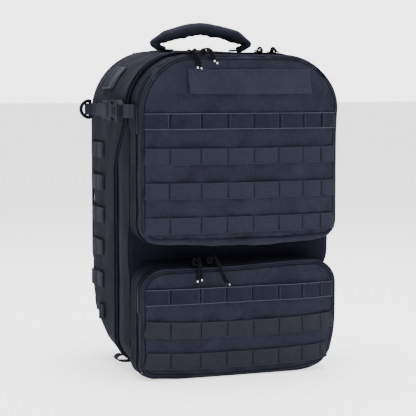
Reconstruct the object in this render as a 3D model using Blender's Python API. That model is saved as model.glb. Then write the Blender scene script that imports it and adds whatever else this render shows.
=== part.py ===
"""Trauma backpack: a clamshell main compartment, two webbed front pockets and a padded harness.

Run it with: blender --background --python part.py
Units are metres. +Z is up, -Y is the front, and the origin is on the underside of the base.
"""

import math

import bmesh
import bpy
from mathutils import Matrix, Vector

MM = 0.001

# Driving dimensions of the body
BODY_HALF_W = 158 * MM
BODY_TOP_FRONT = 474 * MM
BODY_TOP_REAR = 483 * MM
TOP_SLOPE_START_Y = -50 * MM
TOP_SLOPE_END_Y = 60 * MM
BODY_CORNER_FRONT = 84 * MM
BODY_CORNER_REAR = 100 * MM
BODY_CORNER_BASE = 45 * MM
BACK_Y = 125 * MM
LID_FRONT_Y = -74 * MM
BASE_REAR_Y = 20 * MM
LUMBAR_Z = 150 * MM
BACK_EDGE = 8 * MM
BACK_EDGE_DEPTH = 12 * MM
WALL = 5 * MM
GAP = 0.3 * MM

# The seam that the main zip closes: deep at the base, running forward near the top
SEAM_LOW_Y = -12 * MM
SEAM_HIGH_Y = -66 * MM
SEAM_TURN_LOW_Z = 300 * MM
SEAM_TURN_HIGH_Z = 395 * MM

# Front pockets
POCKET_HALF_W = 157 * MM
POCKET_WALL = 3 * MM
POCKET_FRONT_Y = -125 * MM
POCKET_ZIP_Y = -113 * MM
UPPER_BASE_Z = 199 * MM
UPPER_TOP_Z = 471 * MM
UPPER_FOLD_Z = 354 * MM
UPPER_CORNER_TOP = 88 * MM
UPPER_CORNER_BASE = 22 * MM
LOWER_TOP_Z = 165 * MM
LOWER_FOLD_Z = 90 * MM
LOWER_CORNER_TOP = 38 * MM
LOWER_CORNER_BASE = 24 * MM

# Name panel on the upper pocket
ID_LEFT_X = -86 * MM
ID_RIGHT_X = 110 * MM
ID_BASE_Z = 415 * MM
ID_TOP_Z = 451 * MM
ID_T = 2.2 * MM

# Webbing: one inch tape on a two inch pitch
WEB = 25.4 * MM
WEB_T = 1.6 * MM
UPPER_ROWS_Z = [387 * MM - i * 50.8 * MM for i in range(4)]
LOWER_ROWS_Z = [129 * MM - i * 46 * MM for i in range(3)]
UPPER_ROW_HALF_W = 148 * MM
LOWER_ROW_HALF_W = 146 * MM
SIDE_ROWS_Z = [339 * MM - i * 50.8 * MM for i in range(6)]
SIDE_WEB_FRONT_Y = 44 * MM
SIDE_WEB_REAR_Y = 112 * MM
SIDE_WEB_SHORT_Y = 84 * MM

# Zips
TAPE_W = 6 * MM
TAPE_T = 1.5 * MM
SLIDER_L = 9 * MM
SLIDER_W = 11 * MM
SLIDER_T = 4.2 * MM
CORD_R = 1.5 * MM

# Side compression straps
STRAP_Z = 389 * MM
STRAP_W = 20 * MM
BUCKLE_H = 33 * MM
BUCKLE_Y = -15 * MM
RING_Y = 108 * MM
RING_REACH = 15 * MM
RING_HALF_H = 13.5 * MM
RING_WIRE_R = 2.1 * MM

# Tube port on the left shoulder, by its angles down the corner
PORT_TOP_ANGLE = 45
PORT_LOW_ANGLE = 68
PORT_FRONT_Y = 17 * MM
PORT_REAR_Y = 68 * MM
PORT_T = 2.4 * MM
LOOP_Y = 3.5 * MM

# Carry handle
HANDLE_Y = 40 * MM
HANDLE_GRIP_W = 30 * MM
HANDLE_GRIP_T = 21 * MM

# Harness: everything behind the back panel
PAD_T = 9 * MM
SHOULDER_T = 13 * MM
SHOULDER_HALF_W = 31 * MM
SHOULDER_RUN = ((53, 450), (58, 410), (70, 350), (84, 280), (93, 215), (95, 162))
LOCK_W = 34 * MM
LOCK_H = 33 * MM
LOCK_T = 6 * MM
LOCK_DROP = 1.5 * MM
LOCK_SLOT_W = 26 * MM
LOCK_SLOT_H = 4 * MM
CHEST_Z = 380 * MM
CHEST_W = 18 * MM
CHEST_OUTER_X = 60 * MM
CLIP_INNER_X = 2 * MM
CLIP_OUTER_X = 27 * MM
CLIP_H = 24 * MM
CLIP_T = 7 * MM
SHEET_T = 1.8 * MM
SHELF_Z = 248 * MM
SHELF_T = 4 * MM

FABRIC = ("fabric", (0.030, 0.033, 0.050), 0.85, 0.0)
WEBBING = ("webbing", (0.042, 0.045, 0.062), 0.75, 0.0)
LOOP_TAPE = ("loop_tape", (0.026, 0.029, 0.048), 0.95, 0.0)
PLASTIC = ("plastic", (0.020, 0.021, 0.026), 0.40, 0.0)
RUBBER = ("rubber", (0.110, 0.125, 0.150), 0.45, 0.0)
METAL = ("dark_metal", (0.030, 0.030, 0.034), 0.35, 1.0)
MESH_PAD = ("spacer_mesh", (0.022, 0.024, 0.034), 0.95, 0.0)
ZIP_TAPE = ("zip_tape", (0.034, 0.036, 0.056), 0.70, 0.0)
CORD = ("cord", (0.020, 0.021, 0.028), 0.60, 0.0)
SHEET = ("frame_sheet", (0.035, 0.035, 0.038), 0.50, 0.0)


# ---------------------------------------------------------------- materials and plain mesh tools

def material(spec):
    name, colour, roughness, metallic = spec
    found = bpy.data.materials.get(name)
    if found:
        return found
    made = bpy.data.materials.new(name)
    made.use_nodes = True
    shader = made.node_tree.nodes["Principled BSDF"]
    shader.inputs["Base Color"].default_value = (*colour, 1.0)
    shader.inputs["Roughness"].default_value = roughness
    shader.inputs["Metallic"].default_value = metallic
    made.diffuse_color = (*colour, 1.0)
    return made


def add(name, bm, spec, pivot=(0, 0, 0)):
    """Makes the bmesh an object whose origin is at pivot."""
    bmesh.ops.recalc_face_normals(bm, faces=bm.faces)
    bmesh.ops.translate(bm, vec=-Vector(pivot), verts=bm.verts)
    mesh = bpy.data.meshes.new(name)
    bm.to_mesh(mesh)
    bm.free()
    obj = bpy.data.objects.new(name, mesh)
    obj.location = pivot
    bpy.context.scene.collection.objects.link(obj)
    if spec:
        mesh.materials.append(material(spec))
    return obj


def boolean(obj, cutter, operation="DIFFERENCE"):
    """Booleans cutter into obj at once and removes the cutter."""
    bpy.context.view_layer.update()
    modifier = obj.modifiers.new("cut", "BOOLEAN")
    modifier.operation = operation
    modifier.object = cutter
    graph = bpy.context.evaluated_depsgraph_get()
    made = bpy.data.meshes.new_from_object(obj.evaluated_get(graph))
    obj.modifiers.clear()
    slots = list(obj.data.materials)
    obj.data = made
    obj.data.materials.clear()
    for slot in slots:
        obj.data.materials.append(slot)
    bpy.data.objects.remove(cutter)
    return obj


def smooth(obj, angle=30):
    obj.data.shade_smooth()
    obj.data.set_sharp_from_angle(angle=math.radians(angle))
    return obj


def bevel(obj, width, segments=2):
    modifier = obj.modifiers.new("edges", "BEVEL")
    modifier.width = width
    modifier.segments = segments
    modifier.limit_method = "ANGLE"
    modifier.angle_limit = math.radians(40)
    return obj


def rings_to_bmesh(rings, closed_path=False):
    """A closed body through rings of equal point counts, capped unless the path is a loop."""
    bm = bmesh.new()
    rows = [[bm.verts.new(p) for p in ring] for ring in rings]
    pairs = list(zip(rows, rows[1:]))
    if closed_path:
        pairs.append((rows[-1], rows[0]))
    for low, high in pairs:
        for i in range(len(low)):
            j = (i + 1) % len(low)
            bm.faces.new((low[i], low[j], high[j], high[i]))
    if not closed_path:
        bm.faces.new(rows[0][::-1])
        bm.faces.new(rows[-1])
    return bm


def box_bmesh(low, high):
    bm = bmesh.new()
    size = Vector(high) - Vector(low)
    centre = (Vector(high) + Vector(low)) / 2
    bmesh.ops.create_cube(bm, size=1.0, matrix=Matrix.Translation(centre) @ Matrix.Diagonal((*size, 1)))
    return bm


def box(name, low, high, spec=None, pivot=(0, 0, 0)):
    return add(name, box_bmesh(low, high), spec, pivot)


def arc(centre, radius, start, end, steps):
    """Points from angle start to end, in degrees, about centre, in any plane of two axes."""
    angles = [math.radians(start + (end - start) * i / steps) for i in range(steps + 1)]
    return [(centre[0] + radius * math.cos(a), centre[1] + radius * math.sin(a)) for a in angles]


def outline(half_w, low, high, r_top, r_base, n_top=8, n_base=5):
    """A round-cornered panel outline in X and Z, anticlockwise from the lower right."""
    return (
        arc((half_w - r_base, low + r_base), r_base, -90, 0, n_base)
        + arc((half_w - r_top, high - r_top), r_top, 0, 90, n_top)
        + arc((r_top - half_w, high - r_top), r_top, 90, 180, n_top)
        + arc((r_base - half_w, low + r_base), r_base, 180, 270, n_base)
    )


def loft(name, stations, spec=None):
    """A body through XZ outlines placed at their own Y."""
    return add(name, rings_to_bmesh([[(x, y, z) for x, z in loop] for y, loop in stations]), spec)


def prism_x(name, profile, half_w, spec=None):
    """A YZ profile extruded across X."""
    return add(name, rings_to_bmesh([[(x, y, z) for y, z in profile] for x in (-half_w, half_w)]), spec)


def ribbon(path, half_width, thickness, width_axis):
    """A flat tape along path. It is thickness deep towards the path's left, seen along width_axis."""
    across = Vector(width_axis).normalized()
    rings = []
    for i, point in enumerate(path):
        before = Vector(path[max(i - 1, 0)])
        after = Vector(path[min(i + 1, len(path) - 1)])
        side = across.cross((after - before).normalized()).normalized() * (thickness / 2)
        centre = Vector(point)
        wide = across * half_width
        near, far = centre - side, centre + side
        rings.append([near - wide, near + wide, far + wide, far - wide])
    return rings_to_bmesh(rings)


def tube_rings(path, radius, sides=6):
    """Round rings along a path, carried without twist."""
    points = [Vector(p) for p in path]
    tangent = (points[1] - points[0]).normalized()
    normal = tangent.orthogonal().normalized()
    rings = []
    for i, point in enumerate(points):
        before, after = points[max(i - 1, 0)], points[min(i + 1, len(points) - 1)]
        turned = (after - before).normalized()
        normal = (tangent.rotation_difference(turned) @ normal).normalized()
        tangent = turned
        other = tangent.cross(normal)
        width = radius[i] if isinstance(radius, list) else radius
        steps = [math.tau * k / sides for k in range(sides)]
        rings.append([point + (normal * math.cos(a) + other * math.sin(a)) * width for a in steps])
    return rings


def curve_through(points, steps):
    """A smooth Catmull-Rom curve through the points, with steps points on each span."""
    ends = [Vector(p) for p in points]
    ends = [2 * ends[0] - ends[1]] + ends + [2 * ends[-1] - ends[-2]]
    made = []
    for a, b, c, d in zip(ends, ends[1:], ends[2:], ends[3:]):
        for k in range(steps):
            t = k / steps
            square, cube = 2 * a - 5 * b + 4 * c - d, 3 * b - a - 3 * c + d
            made.append(0.5 * (2 * b + (c - a) * t + square * t**2 + cube * t**3))
    return made + [ends[-2]]


# ---------------------------------------------------------------- the body's own shape

def seam_y(z):
    """Where the main seam lies at height z."""
    share = min(1.0, max(0.0, (z - SEAM_TURN_LOW_Z) / (SEAM_TURN_HIGH_Z - SEAM_TURN_LOW_Z)))
    return SEAM_LOW_Y + (SEAM_HIGH_Y - SEAM_LOW_Y) * share * share * (3 - 2 * share)


def seam_profile(offset, far_y):
    """A YZ profile of everything between far_y and the seam, moved by offset."""
    below, above = -0.05, 0.60
    steps = 8
    span = (SEAM_TURN_HIGH_Z - SEAM_TURN_LOW_Z) / steps
    heights = [below] + [SEAM_TURN_LOW_Z + span * i for i in range(steps + 1)] + [above]
    return [(far_y, below)] + [(seam_y(z) + offset, z) for z in heights] + [(far_y, above)]


def body_outline(y, inset=0.0):
    """The body's XZ outline at depth y. The base sweeps up to the lumbar edge behind the stand."""
    rise = max(0.0, (y - BASE_REAR_Y) / (BACK_Y - BASE_REAR_Y))
    low = LUMBAR_Z * (1 - math.sqrt(max(0.0, 1 - rise * rise)))
    slope = min(1.0, max(0.0, (y - TOP_SLOPE_START_Y) / (TOP_SLOPE_END_Y - TOP_SLOPE_START_Y)))
    high = BODY_TOP_FRONT + (BODY_TOP_REAR - BODY_TOP_FRONT) * slope
    corner = BODY_CORNER_FRONT + (BODY_CORNER_REAR - BODY_CORNER_FRONT) * slope
    edge = BACK_EDGE * max(0.0, (y - BACK_Y + BACK_EDGE_DEPTH) / BACK_EDGE_DEPTH) ** 2
    return outline(
        BODY_HALF_W - inset - edge,
        low + inset,
        high - inset - edge,
        corner - inset,
        BODY_CORNER_BASE - inset,
    )


BODY_STATIONS = [y * MM for y in (-74, -50, 20, 60, 80, 98, 112, 121, 124, 125)]
INNER_STATIONS = [y * MM for y in (-69, -50, 20, 60, 80, 98, 110, 117, 120)]


def make_body_shells():
    rear = loft("rear_shell", [(y, body_outline(y)) for y in BODY_STATIONS], FABRIC)
    boolean(rear, prism_x("front_half", seam_profile(GAP, -0.3), 0.3))
    boolean(rear, loft("inside", [(y, body_outline(y, WALL)) for y in INNER_STATIONS]))
    boolean(rear, port_slit())
    smooth(rear)
    lid = loft("lid_shell", [(y, body_outline(y)) for y in BODY_STATIONS[:3]], FABRIC)
    boolean(lid, prism_x("rear_half", seam_profile(-GAP, 0.3), 0.3))
    boolean(lid, loft("inside", [(y, body_outline(y, WALL)) for y in (LID_FRONT_Y + WALL, 30 * MM)]))
    smooth(lid)


def zip_strip(name, loop, y_low, y_high):
    """One half of a zip: a tape lying on the outline, between two depths given by functions of z."""
    rings = []
    for i, (x, z) in enumerate(loop):
        before, after = loop[max(i - 1, 0)], loop[min(i + 1, len(loop) - 1)]
        along = Vector((after[0] - before[0], 0, after[1] - before[1])).normalized()
        out = Vector((along.z, 0, -along.x))
        near = Vector((x, 0, z)) + out * GAP
        far = near + out * TAPE_T
        low, high = Vector((0, y_low(z), 0)), Vector((0, y_high(z), 0))
        rings.append([near + low, far + low, far + high, near + high])
    return smooth(add(name, rings_to_bmesh(rings), ZIP_TAPE), 50)


def arch(half_w, high, r_top, low, steps=8):
    """An open outline from low on the right, over the top, to low on the left."""
    rises = 6
    side = [(half_w, low + (high - r_top - low) * i / rises) for i in range(rises)]
    over = arc((half_w - r_top, high - r_top), r_top, 0, 90, steps)
    back = [(-x, z) for x, z in reversed(side + over)]
    return side + over + back


def make_main_zip():
    """Both tapes run over the top and down each side, and stop where the base corner turns under."""
    corner_x = BODY_HALF_W - BODY_CORNER_BASE
    corner = arc((corner_x, BODY_CORNER_BASE), BODY_CORNER_BASE, -90, 0, 5)[2:-1]
    over = arch(BODY_HALF_W, BODY_TOP_FRONT, BODY_CORNER_FRONT, BODY_CORNER_BASE)
    arc_start = BODY_TOP_FRONT - BODY_CORNER_FRONT
    turn = 12
    span = (arc_start - SEAM_TURN_LOW_Z) / turn
    side = [(BODY_HALF_W, BODY_CORNER_BASE)]
    side += [(BODY_HALF_W, SEAM_TURN_LOW_Z + span * i) for i in range(turn)]
    bend = [p for p in over if p[0] > 0 and p[1] >= arc_start - GAP]
    half = corner + side + bend
    loop = half + [(-x, z) for x, z in reversed(half)]
    zip_strip("main_zip_rear_tape", loop, lambda z: seam_y(z) + GAP, lambda z: seam_y(z) + TAPE_W)
    zip_strip("main_zip_lid_tape", loop, lambda z: seam_y(z) - TAPE_W, lambda z: seam_y(z) - GAP)


# ---------------------------------------------------------------- front pockets

def ring_wall(name, outer, inner, y_low, y_high, spec):
    """A closed band: the outer outline less the inner one, between two depths."""
    band = loft(name, [(y_low, outer), (y_high, outer)], spec)
    beyond = 10 * MM
    return smooth(boolean(band, loft("hollow", [(y_low - beyond, inner), (y_high + beyond, inner)])))


def pocket(prefix, low, high, fold, r_top, r_base):
    """A pocket is a gusset band, a sewn front panel and a front flap above the zip's two ends."""
    outer = outline(POCKET_HALF_W, low, high, r_top, r_base)
    wall = POCKET_WALL
    inner = outline(POCKET_HALF_W - wall, low + wall, high - wall, r_top - wall, r_base - wall)
    ring_wall(prefix + "_gusset", outer, inner, POCKET_ZIP_Y, LID_FRONT_Y - GAP, FABRIC)
    edge = 5 * MM
    face = outline(POCKET_HALF_W - edge, low + edge, high - edge, r_top - edge, r_base - edge)
    front = [(POCKET_FRONT_Y, face), (POCKET_FRONT_Y + edge, outer), (POCKET_ZIP_Y - GAP, outer)]
    hollow = [(POCKET_FRONT_Y + POCKET_WALL, inner), (0, inner)]
    reach = 0.3
    for name, z_cut_low, z_cut_high in (
        (prefix + "_panel", fold - GAP, high + reach),
        (prefix + "_flap", low - reach, fold + GAP),
    ):
        made = loft(name, front, FABRIC)
        boolean(made, loft("hollow", hollow))
        boolean(made, box("cut", (-reach, -reach, z_cut_low), (reach, reach, z_cut_high)))
        smooth(made)


def pocket_zip(prefix, high, r_top, fold):
    loop = arch(POCKET_HALF_W, high, r_top, fold + 1 * MM)
    zip_strip(prefix + "_zip_gusset_tape", loop, lambda z: POCKET_ZIP_Y, lambda z: POCKET_ZIP_Y + TAPE_W)
    zip_strip(
        prefix + "_zip_flap_tape", loop, lambda z: POCKET_ZIP_Y - GAP - TAPE_W, lambda z: POCKET_ZIP_Y - GAP
    )


def front_rows(name, tops, half_w):
    """Webbing rows on a front face. More than one row is joined at both ends by the stitched-in tape."""
    y_face = POCKET_FRONT_Y - GAP
    made = None
    for top in tops:
        row = box(name, (-half_w, y_face - WEB_T, top - WEB), (half_w, y_face, top), WEBBING)
        made = row if made is None else boolean(made, row, "UNION")
    if len(tops) > 1:
        for side in (-1, 1):
            ends = sorted((side * half_w, side * (half_w - 4 * MM)))
            low = (ends[0], y_face - WEB_T / 2, tops[-1] - WEB / 2)
            high = (ends[1], y_face, tops[0] - WEB / 2)
            boolean(made, box("end", low, high), "UNION")
    return made


def make_pockets():
    pocket("upper_pocket", UPPER_BASE_Z, UPPER_TOP_Z, UPPER_FOLD_Z, UPPER_CORNER_TOP, UPPER_CORNER_BASE)
    pocket("lower_pocket", 0.0, LOWER_TOP_Z, LOWER_FOLD_Z, LOWER_CORNER_TOP, LOWER_CORNER_BASE)
    pocket_zip("upper", UPPER_TOP_Z, UPPER_CORNER_TOP, UPPER_FOLD_Z)
    pocket_zip("lower", LOWER_TOP_Z, LOWER_CORNER_TOP, LOWER_FOLD_Z)
    front_rows("upper_webbing_row_1", UPPER_ROWS_Z[:1], UPPER_ROW_HALF_W)
    front_rows("upper_webbing_rows_2_to_4", UPPER_ROWS_Z[1:], UPPER_ROW_HALF_W)
    front_rows("lower_webbing_row_1", LOWER_ROWS_Z[:1], LOWER_ROW_HALF_W)
    front_rows("lower_webbing_rows_2_to_3", LOWER_ROWS_Z[1:], LOWER_ROW_HALF_W)


def make_id_flap():
    """A name panel sewn along its top edge, which lifts at the front."""
    low = (ID_LEFT_X, POCKET_FRONT_Y - GAP - ID_T, ID_BASE_Z)
    high = (ID_RIGHT_X, POCKET_FRONT_Y - GAP, ID_TOP_Z)
    box("id_flap", low, high, LOOP_TAPE, ((ID_LEFT_X + ID_RIGHT_X) / 2, POCKET_FRONT_Y - 1 * MM, ID_TOP_Z))


# ---------------------------------------------------------------- zip sliders and their cord pulls

def slider(name, place):
    """A slider body lying on the zip at place, with a bridge for the pull."""
    half_l, half_w = SLIDER_L / 2, SLIDER_W / 2
    body_t, bridge_top = 2.2 * MM, SLIDER_T + 1 * MM
    body = bevel(box(name, (-half_l, -half_w, 0), (half_l, half_w, body_t), METAL), 0.8 * MM, 1)
    profile = [(-half_w + 1 * MM, 1 * MM), (-4 * MM, bridge_top), (2 * MM, bridge_top), (4 * MM, 1 * MM)]
    boolean(body, prism_x("bridge", profile, 1.6 * MM), "UNION")
    body.location = place
    return body


def cord_pull(name, pivot, legs):
    """Two cord legs that leave the slider together, a moulded grip over them, and a tip on each end."""
    steps = 3
    made = None
    for leg in legs:
        path = curve_through([Vector(p) * MM + Vector(pivot) for p in leg], steps)
        count = len(path)
        tip = 3
        radii = [CORD_R] * (count - tip) + [CORD_R * 1.35] * tip
        piece = add(name, rings_to_bmesh(tube_rings(path, radii)), CORD, pivot)
        made = piece if made is None else boolean(made, piece, "UNION")
    return smooth(made, 40)


# Each leg runs from the slider's bridge to its tip, in millimetres from the pull's pivot.
UPPER_PULL_LEFT = (
    [(-0.6, -3, 0), (1, -12, -2), (4, -15, -12), (7, -16, -25)],
    [(0.6, -3, 0), (-1, -12, -2), (1, -15, -13), (2, -16, -27)],
)
UPPER_PULL_RIGHT = (
    [(-0.6, -3, 0), (4, -12, -1), (9, -15, -9), (14, -16, -19)],
    [(0.6, -3, 0), (7, -12, 0), (13, -15, -10), (18, -16, -22)],
)
LOWER_PULL_LEFT = (
    [(-0.6, -3, 0), (0, -13, -4), (1, -16, -22), (0, -16, -38)],
    [(0.6, -3, 0), (2, -13, -4), (3, -16, -22), (6, -16, -37)],
)
LOWER_PULL_RIGHT = (
    [(-0.6, -3, 0), (3, -13, -4), (12, -16, -26), (19, -16, -46)],
    [(0.6, -3, 0), (5, -13, -4), (14, -16, -26), (25, -16, -45)],
)
MAIN_PULL_LEFT = (
    [(-0.6, -3, 0), (-3, -12, -3), (-9, -20, -4), (-17, -27, -4)],
    [(0.6, -3, 0), (-2, -13, -3), (-5, -23, -4), (-11, -31, -4)],
)
MAIN_PULL_RIGHT = (
    [(-0.6, -3, 0), (-2, -12, -3), (-5, -22, -5), (-9, -32, -6)],
    [(0.6, -3, 0), (1, -13, -3), (0, -23, -5), (-2, -34, -6)],
)


def on_arc(half_w, high, radius, angle, lift, y, side):
    """A point lifted off a top corner of an outline, angle degrees past its highest point."""
    turn = math.radians(angle)
    reach = radius + lift
    x = half_w - radius + reach * math.sin(turn)
    return Vector((side * x, y, high - radius + reach * math.cos(turn)))


def make_zip_hardware():
    lift = GAP + TAPE_T + GAP
    pivot_up = SLIDER_T + 2.9 * MM
    specs = (
        ("upper_left", UPPER_TOP_Z, POCKET_ZIP_Y, UPPER_CORNER_TOP - POCKET_HALF_W, UPPER_PULL_LEFT),
        ("upper_right", UPPER_TOP_Z, POCKET_ZIP_Y, -57 * MM, UPPER_PULL_RIGHT),
        ("lower_left", LOWER_TOP_Z, POCKET_ZIP_Y, -66 * MM, LOWER_PULL_LEFT),
        ("lower_right", LOWER_TOP_Z, POCKET_ZIP_Y, -44 * MM, LOWER_PULL_RIGHT),
        ("main_left", BODY_TOP_FRONT, SEAM_HIGH_Y, 52 * MM, MAIN_PULL_LEFT),
        ("main_right", BODY_TOP_FRONT, SEAM_HIGH_Y, BODY_HALF_W - BODY_CORNER_FRONT, MAIN_PULL_RIGHT),
    )
    for name, high, y, x, legs in specs:
        slider(name + "_slider", Vector((x, y, high + lift)))
        cord_pull(name + "_pull", Vector((x, y, high + lift + pivot_up)), legs)


# ---------------------------------------------------------------- carry handle

def mirror_path(half):
    """A path given from its left end to its middle, continued to the right."""
    return half + [(-x, y, z) for x, y, z in reversed(half[:-1])]


def make_handle():
    """A padded grip over one length of webbing, whose ends are sewn down to the top panel."""
    base = BODY_TOP_REAR + GAP
    pivot = (0, HANDLE_Y, base)
    web_half = [(-50, 1.8), (-68, 3.2), (-76, 10), (-60, 22), (-36, 29), (0, 32)]
    web_path = curve_through(mirror_path([(x * MM, HANDLE_Y, base + z * MM) for x, z in web_half]), 3)
    add("handle_webbing", ribbon(web_path, 8 * MM, 3 * MM, (0, 1, 0)), WEBBING, pivot)
    grip_half = [(-82, 12.5), (-62, 21.5), (-36, 29), (0, 32)]
    grip_path = curve_through(mirror_path([(x * MM, HANDLE_Y, base + z * MM) for x, z in grip_half]), 3)
    rings = []
    for i, point in enumerate(grip_path):
        before, after = grip_path[max(i - 1, 0)], grip_path[min(i + 1, len(grip_path) - 1)]
        side = Vector((0, 1, 0)).cross((after - before).normalized()).normalized()
        fullness = math.sqrt(math.sin(math.pi * (0.12 + 0.76 * i / (len(grip_path) - 1))))
        wide, thick = HANDLE_GRIP_W / 2 * fullness, HANDLE_GRIP_T / 2 * fullness
        ring = arc((0, 0), 1.0, 0, 360, 12)[:-1]
        rings.append([point + Vector((0, wide * u, 0)) + side * thick * v for u, v in ring])
    grip = smooth(add("handle_grip", rings_to_bmesh(rings), FABRIC, pivot), 50)
    boolean(grip, add("slot", ribbon(web_path, 8.4 * MM, 3.8 * MM, (0, 1, 0)), None))


# ---------------------------------------------------------------- sides: webbing, straps, rings, port

def make_side_webbing():
    """Six short rows on each side, joined at both ends. The lowest is cut short by the swept base."""
    for side, name in ((-1, "left"), (1, "right")):
        near, far = side * (BODY_HALF_W + GAP), side * (BODY_HALF_W + GAP + WEB_T)
        xs = sorted((near, far))
        made = None
        for top in SIDE_ROWS_Z:
            rear = SIDE_WEB_SHORT_Y if top == SIDE_ROWS_Z[-1] else SIDE_WEB_REAR_Y
            low = (xs[0], SIDE_WEB_FRONT_Y, top - WEB)
            row = box("side_webbing_" + name, low, (xs[1], rear, top), WEBBING)
            made = row if made is None else boolean(made, row, "UNION")
        thin = sorted((near, side * (BODY_HALF_W + GAP + WEB_T / 2)))
        for y, last in ((SIDE_WEB_FRONT_Y, -1), (SIDE_WEB_REAR_Y - 4 * MM, -2)):
            low = (thin[0], y, SIDE_ROWS_Z[last] - WEB / 2)
            high = (thin[1], y + 4 * MM, SIDE_ROWS_Z[0] - WEB / 2)
            boolean(made, box("end", low, high), "UNION")


def mirrored(side, points):
    return [(side * x * MM, y * MM, z * MM) for x, y, z in points]


def make_compression_straps():
    """A strap on each side: its tongue is sewn to the lid, and its tail runs back to the ring."""
    z = STRAP_Z / MM
    half = STRAP_W / 2
    for side, name in ((-1, "left"), (1, "right")):
        tail = mirrored(side, [(159.3, -30, z), (159.3, 40, z), (159.3, 104, z)])
        add("side_strap_" + name, ribbon(tail, half, WEB_T, (0, 0, 1)), WEBBING)
        tongue = [(159.4, -106, z), (159.4, -90, z), (161.8, -83, z), (162.4, -68, z), (163.5, -59, z)]
        female = add(
            "side_buckle_female_" + name, ribbon(mirrored(side, tongue), half, WEB_T, (0, 0, 1)), PLASTIC
        )
        make_buckle_female(female, side)
        make_buckle_male("side_buckle_male_" + name, side)
        make_ring("d_ring_" + name, side)


def block(side, x, y, z, name="block"):
    """A box from ranges in millimetres: x outwards on one side, y from the buckle's closing line."""
    xs = sorted((side * x[0] * MM, side * x[1] * MM))
    low = (xs[0], BUCKLE_Y + y[0] * MM, z[0] * MM)
    return box(name, low, (xs[1], BUCKLE_Y + y[1] * MM, z[1] * MM), PLASTIC)


def make_buckle_female(female, side):
    """A frame that is open at the rear and at both edges, where the male half's arms show."""
    mid, half = STRAP_Z / MM, BUCKLE_H / MM / 2
    body = block(side, (161.2, 171.2), (-47, -1), (mid - half, mid + half))
    boolean(body, block(side, (163.4, 169.0), (-33, 5), (mid - half + 2, mid + half - 2)))
    for edge in (-1, 1):
        window = sorted((mid + edge * (half - 6), mid + edge * (half + 2)))
        boolean(body, block(side, (160, 173), (-27, -9), window))
    boolean(body, block(side, (160, 173), (-44.5, -40), (mid - half + 4, mid + half - 4)))
    boolean(female, body, "UNION")


def make_buckle_male(name, side):
    """Two spring arms and a centre tongue on a body with two webbing bars."""
    mid, half = STRAP_Z / MM, BUCKLE_H / MM / 2
    body = block(side, (161.2, 170.2), (0.5, 43), (mid - half + 1, mid + half - 1), name)
    for y in ((15, 19), (29, 33)):
        boolean(body, block(side, (155, 180), y, (mid - 11, mid + 11)))
    arm_x = (164.2, 168.2)
    for edge in (-1, 1):
        arm = sorted((mid + edge * (half - 10), mid + edge * (half - 6)))
        boolean(body, block(side, arm_x, (-25, 5), arm), "UNION")
    boolean(body, block(side, arm_x, (-21, 5), (mid - 2.5, mid + 2.5)), "UNION")


def make_ring(name, side):
    """A wire D-ring whose straight bar stands upright at the rear end of the side strap."""
    pivot = Vector((side * 163.2 * MM, RING_Y, STRAP_Z))
    bend_steps, sides = 14, 6
    path = []
    for i in range(bend_steps + 1):
        turn = math.radians(-90 + 180 * i / bend_steps)
        path.append(pivot + Vector((side * RING_REACH * math.cos(turn), 0, RING_HALF_H * math.sin(turn))))
    path += [pivot + Vector((0, 0, RING_HALF_H / 2)), pivot - Vector((0, 0, RING_HALF_H / 2))]
    rings = []
    across = Vector((0, 1, 0))
    for i, point in enumerate(path):
        along = (path[(i + 1) % len(path)] - path[i - 1]).normalized()
        normal = across.cross(along)
        turns = [math.tau * k / sides for k in range(sides)]
        rings.append([point + (normal * math.cos(a) + across * math.sin(a)) * RING_WIRE_R for a in turns])
    smooth(add(name, rings_to_bmesh(rings, closed_path=True), METAL, pivot), 60)


def shoulder_point(angle, lift, y):
    """A point lifted off the body's upper left corner, angle degrees down from its highest point."""
    corner = BODY_CORNER_REAR if y >= TOP_SLOPE_END_Y else BODY_CORNER_FRONT + (
        BODY_CORNER_REAR - BODY_CORNER_FRONT
    ) * (y - TOP_SLOPE_START_Y) / (TOP_SLOPE_END_Y - TOP_SLOPE_START_Y)
    share = min(1.0, (y - TOP_SLOPE_START_Y) / (TOP_SLOPE_END_Y - TOP_SLOPE_START_Y))
    high = BODY_TOP_FRONT + (BODY_TOP_REAR - BODY_TOP_FRONT) * share
    return on_arc(BODY_HALF_W, high, corner, angle, lift, y, -1)


def port_slit():
    """The cutter of the slit that the tube port covers."""
    rings = []
    for angle in (PORT_LOW_ANGLE - 8, PORT_LOW_ANGLE - 3):
        ring = []
        for y, lift in ((PORT_FRONT_Y, -12), (PORT_REAR_Y, -12), (PORT_REAR_Y, 12), (PORT_FRONT_Y, 12)):
            inward = 6 * MM if y == PORT_FRONT_Y else -6 * MM
            ring.append(shoulder_point(angle, lift * MM, y + inward))
        rings.append(ring)
    return add("slit", rings_to_bmesh(rings), None)


def make_tube_port():
    """A ribbed rubber hood over a slit on the left shoulder, where a drinking or oxygen tube comes out."""
    steps = 5
    rings = []
    for k in range(steps + 1):
        angle = PORT_TOP_ANGLE + (PORT_LOW_ANGLE - PORT_TOP_ANGLE) * k / steps
        clear = (1.2 + 1.8 * k / steps) * MM
        ring = []
        for y, lift in ((PORT_FRONT_Y, 0), (PORT_REAR_Y, 0), (PORT_REAR_Y, PORT_T), (PORT_FRONT_Y, PORT_T)):
            ring.append(shoulder_point(angle, clear + lift, y))
        rings.append(ring)
    add("tube_port", rings_to_bmesh(rings), RUBBER, shoulder_point(PORT_TOP_ANGLE, 1.2 * MM, PORT_FRONT_Y))


def make_zip_end_loops():
    """A folded tape at each lower end of the main zip, held while the zip is drawn."""
    for side, name in ((-1, "left"), (1, "right")):
        fold = [(129.5, 1.4), (142, 1.8), (151, 3.0), (154.5, 6.4), (151.5, 9.8), (146.5, 10.8)]
        path = curve_through([(side * x * MM, LOOP_Y, z * MM) for x, z in fold], 3)
        add("zip_end_loop_" + name, ribbon(path, 9 * MM, 1.2 * MM, (0, 1, 0)), WEBBING)


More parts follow.
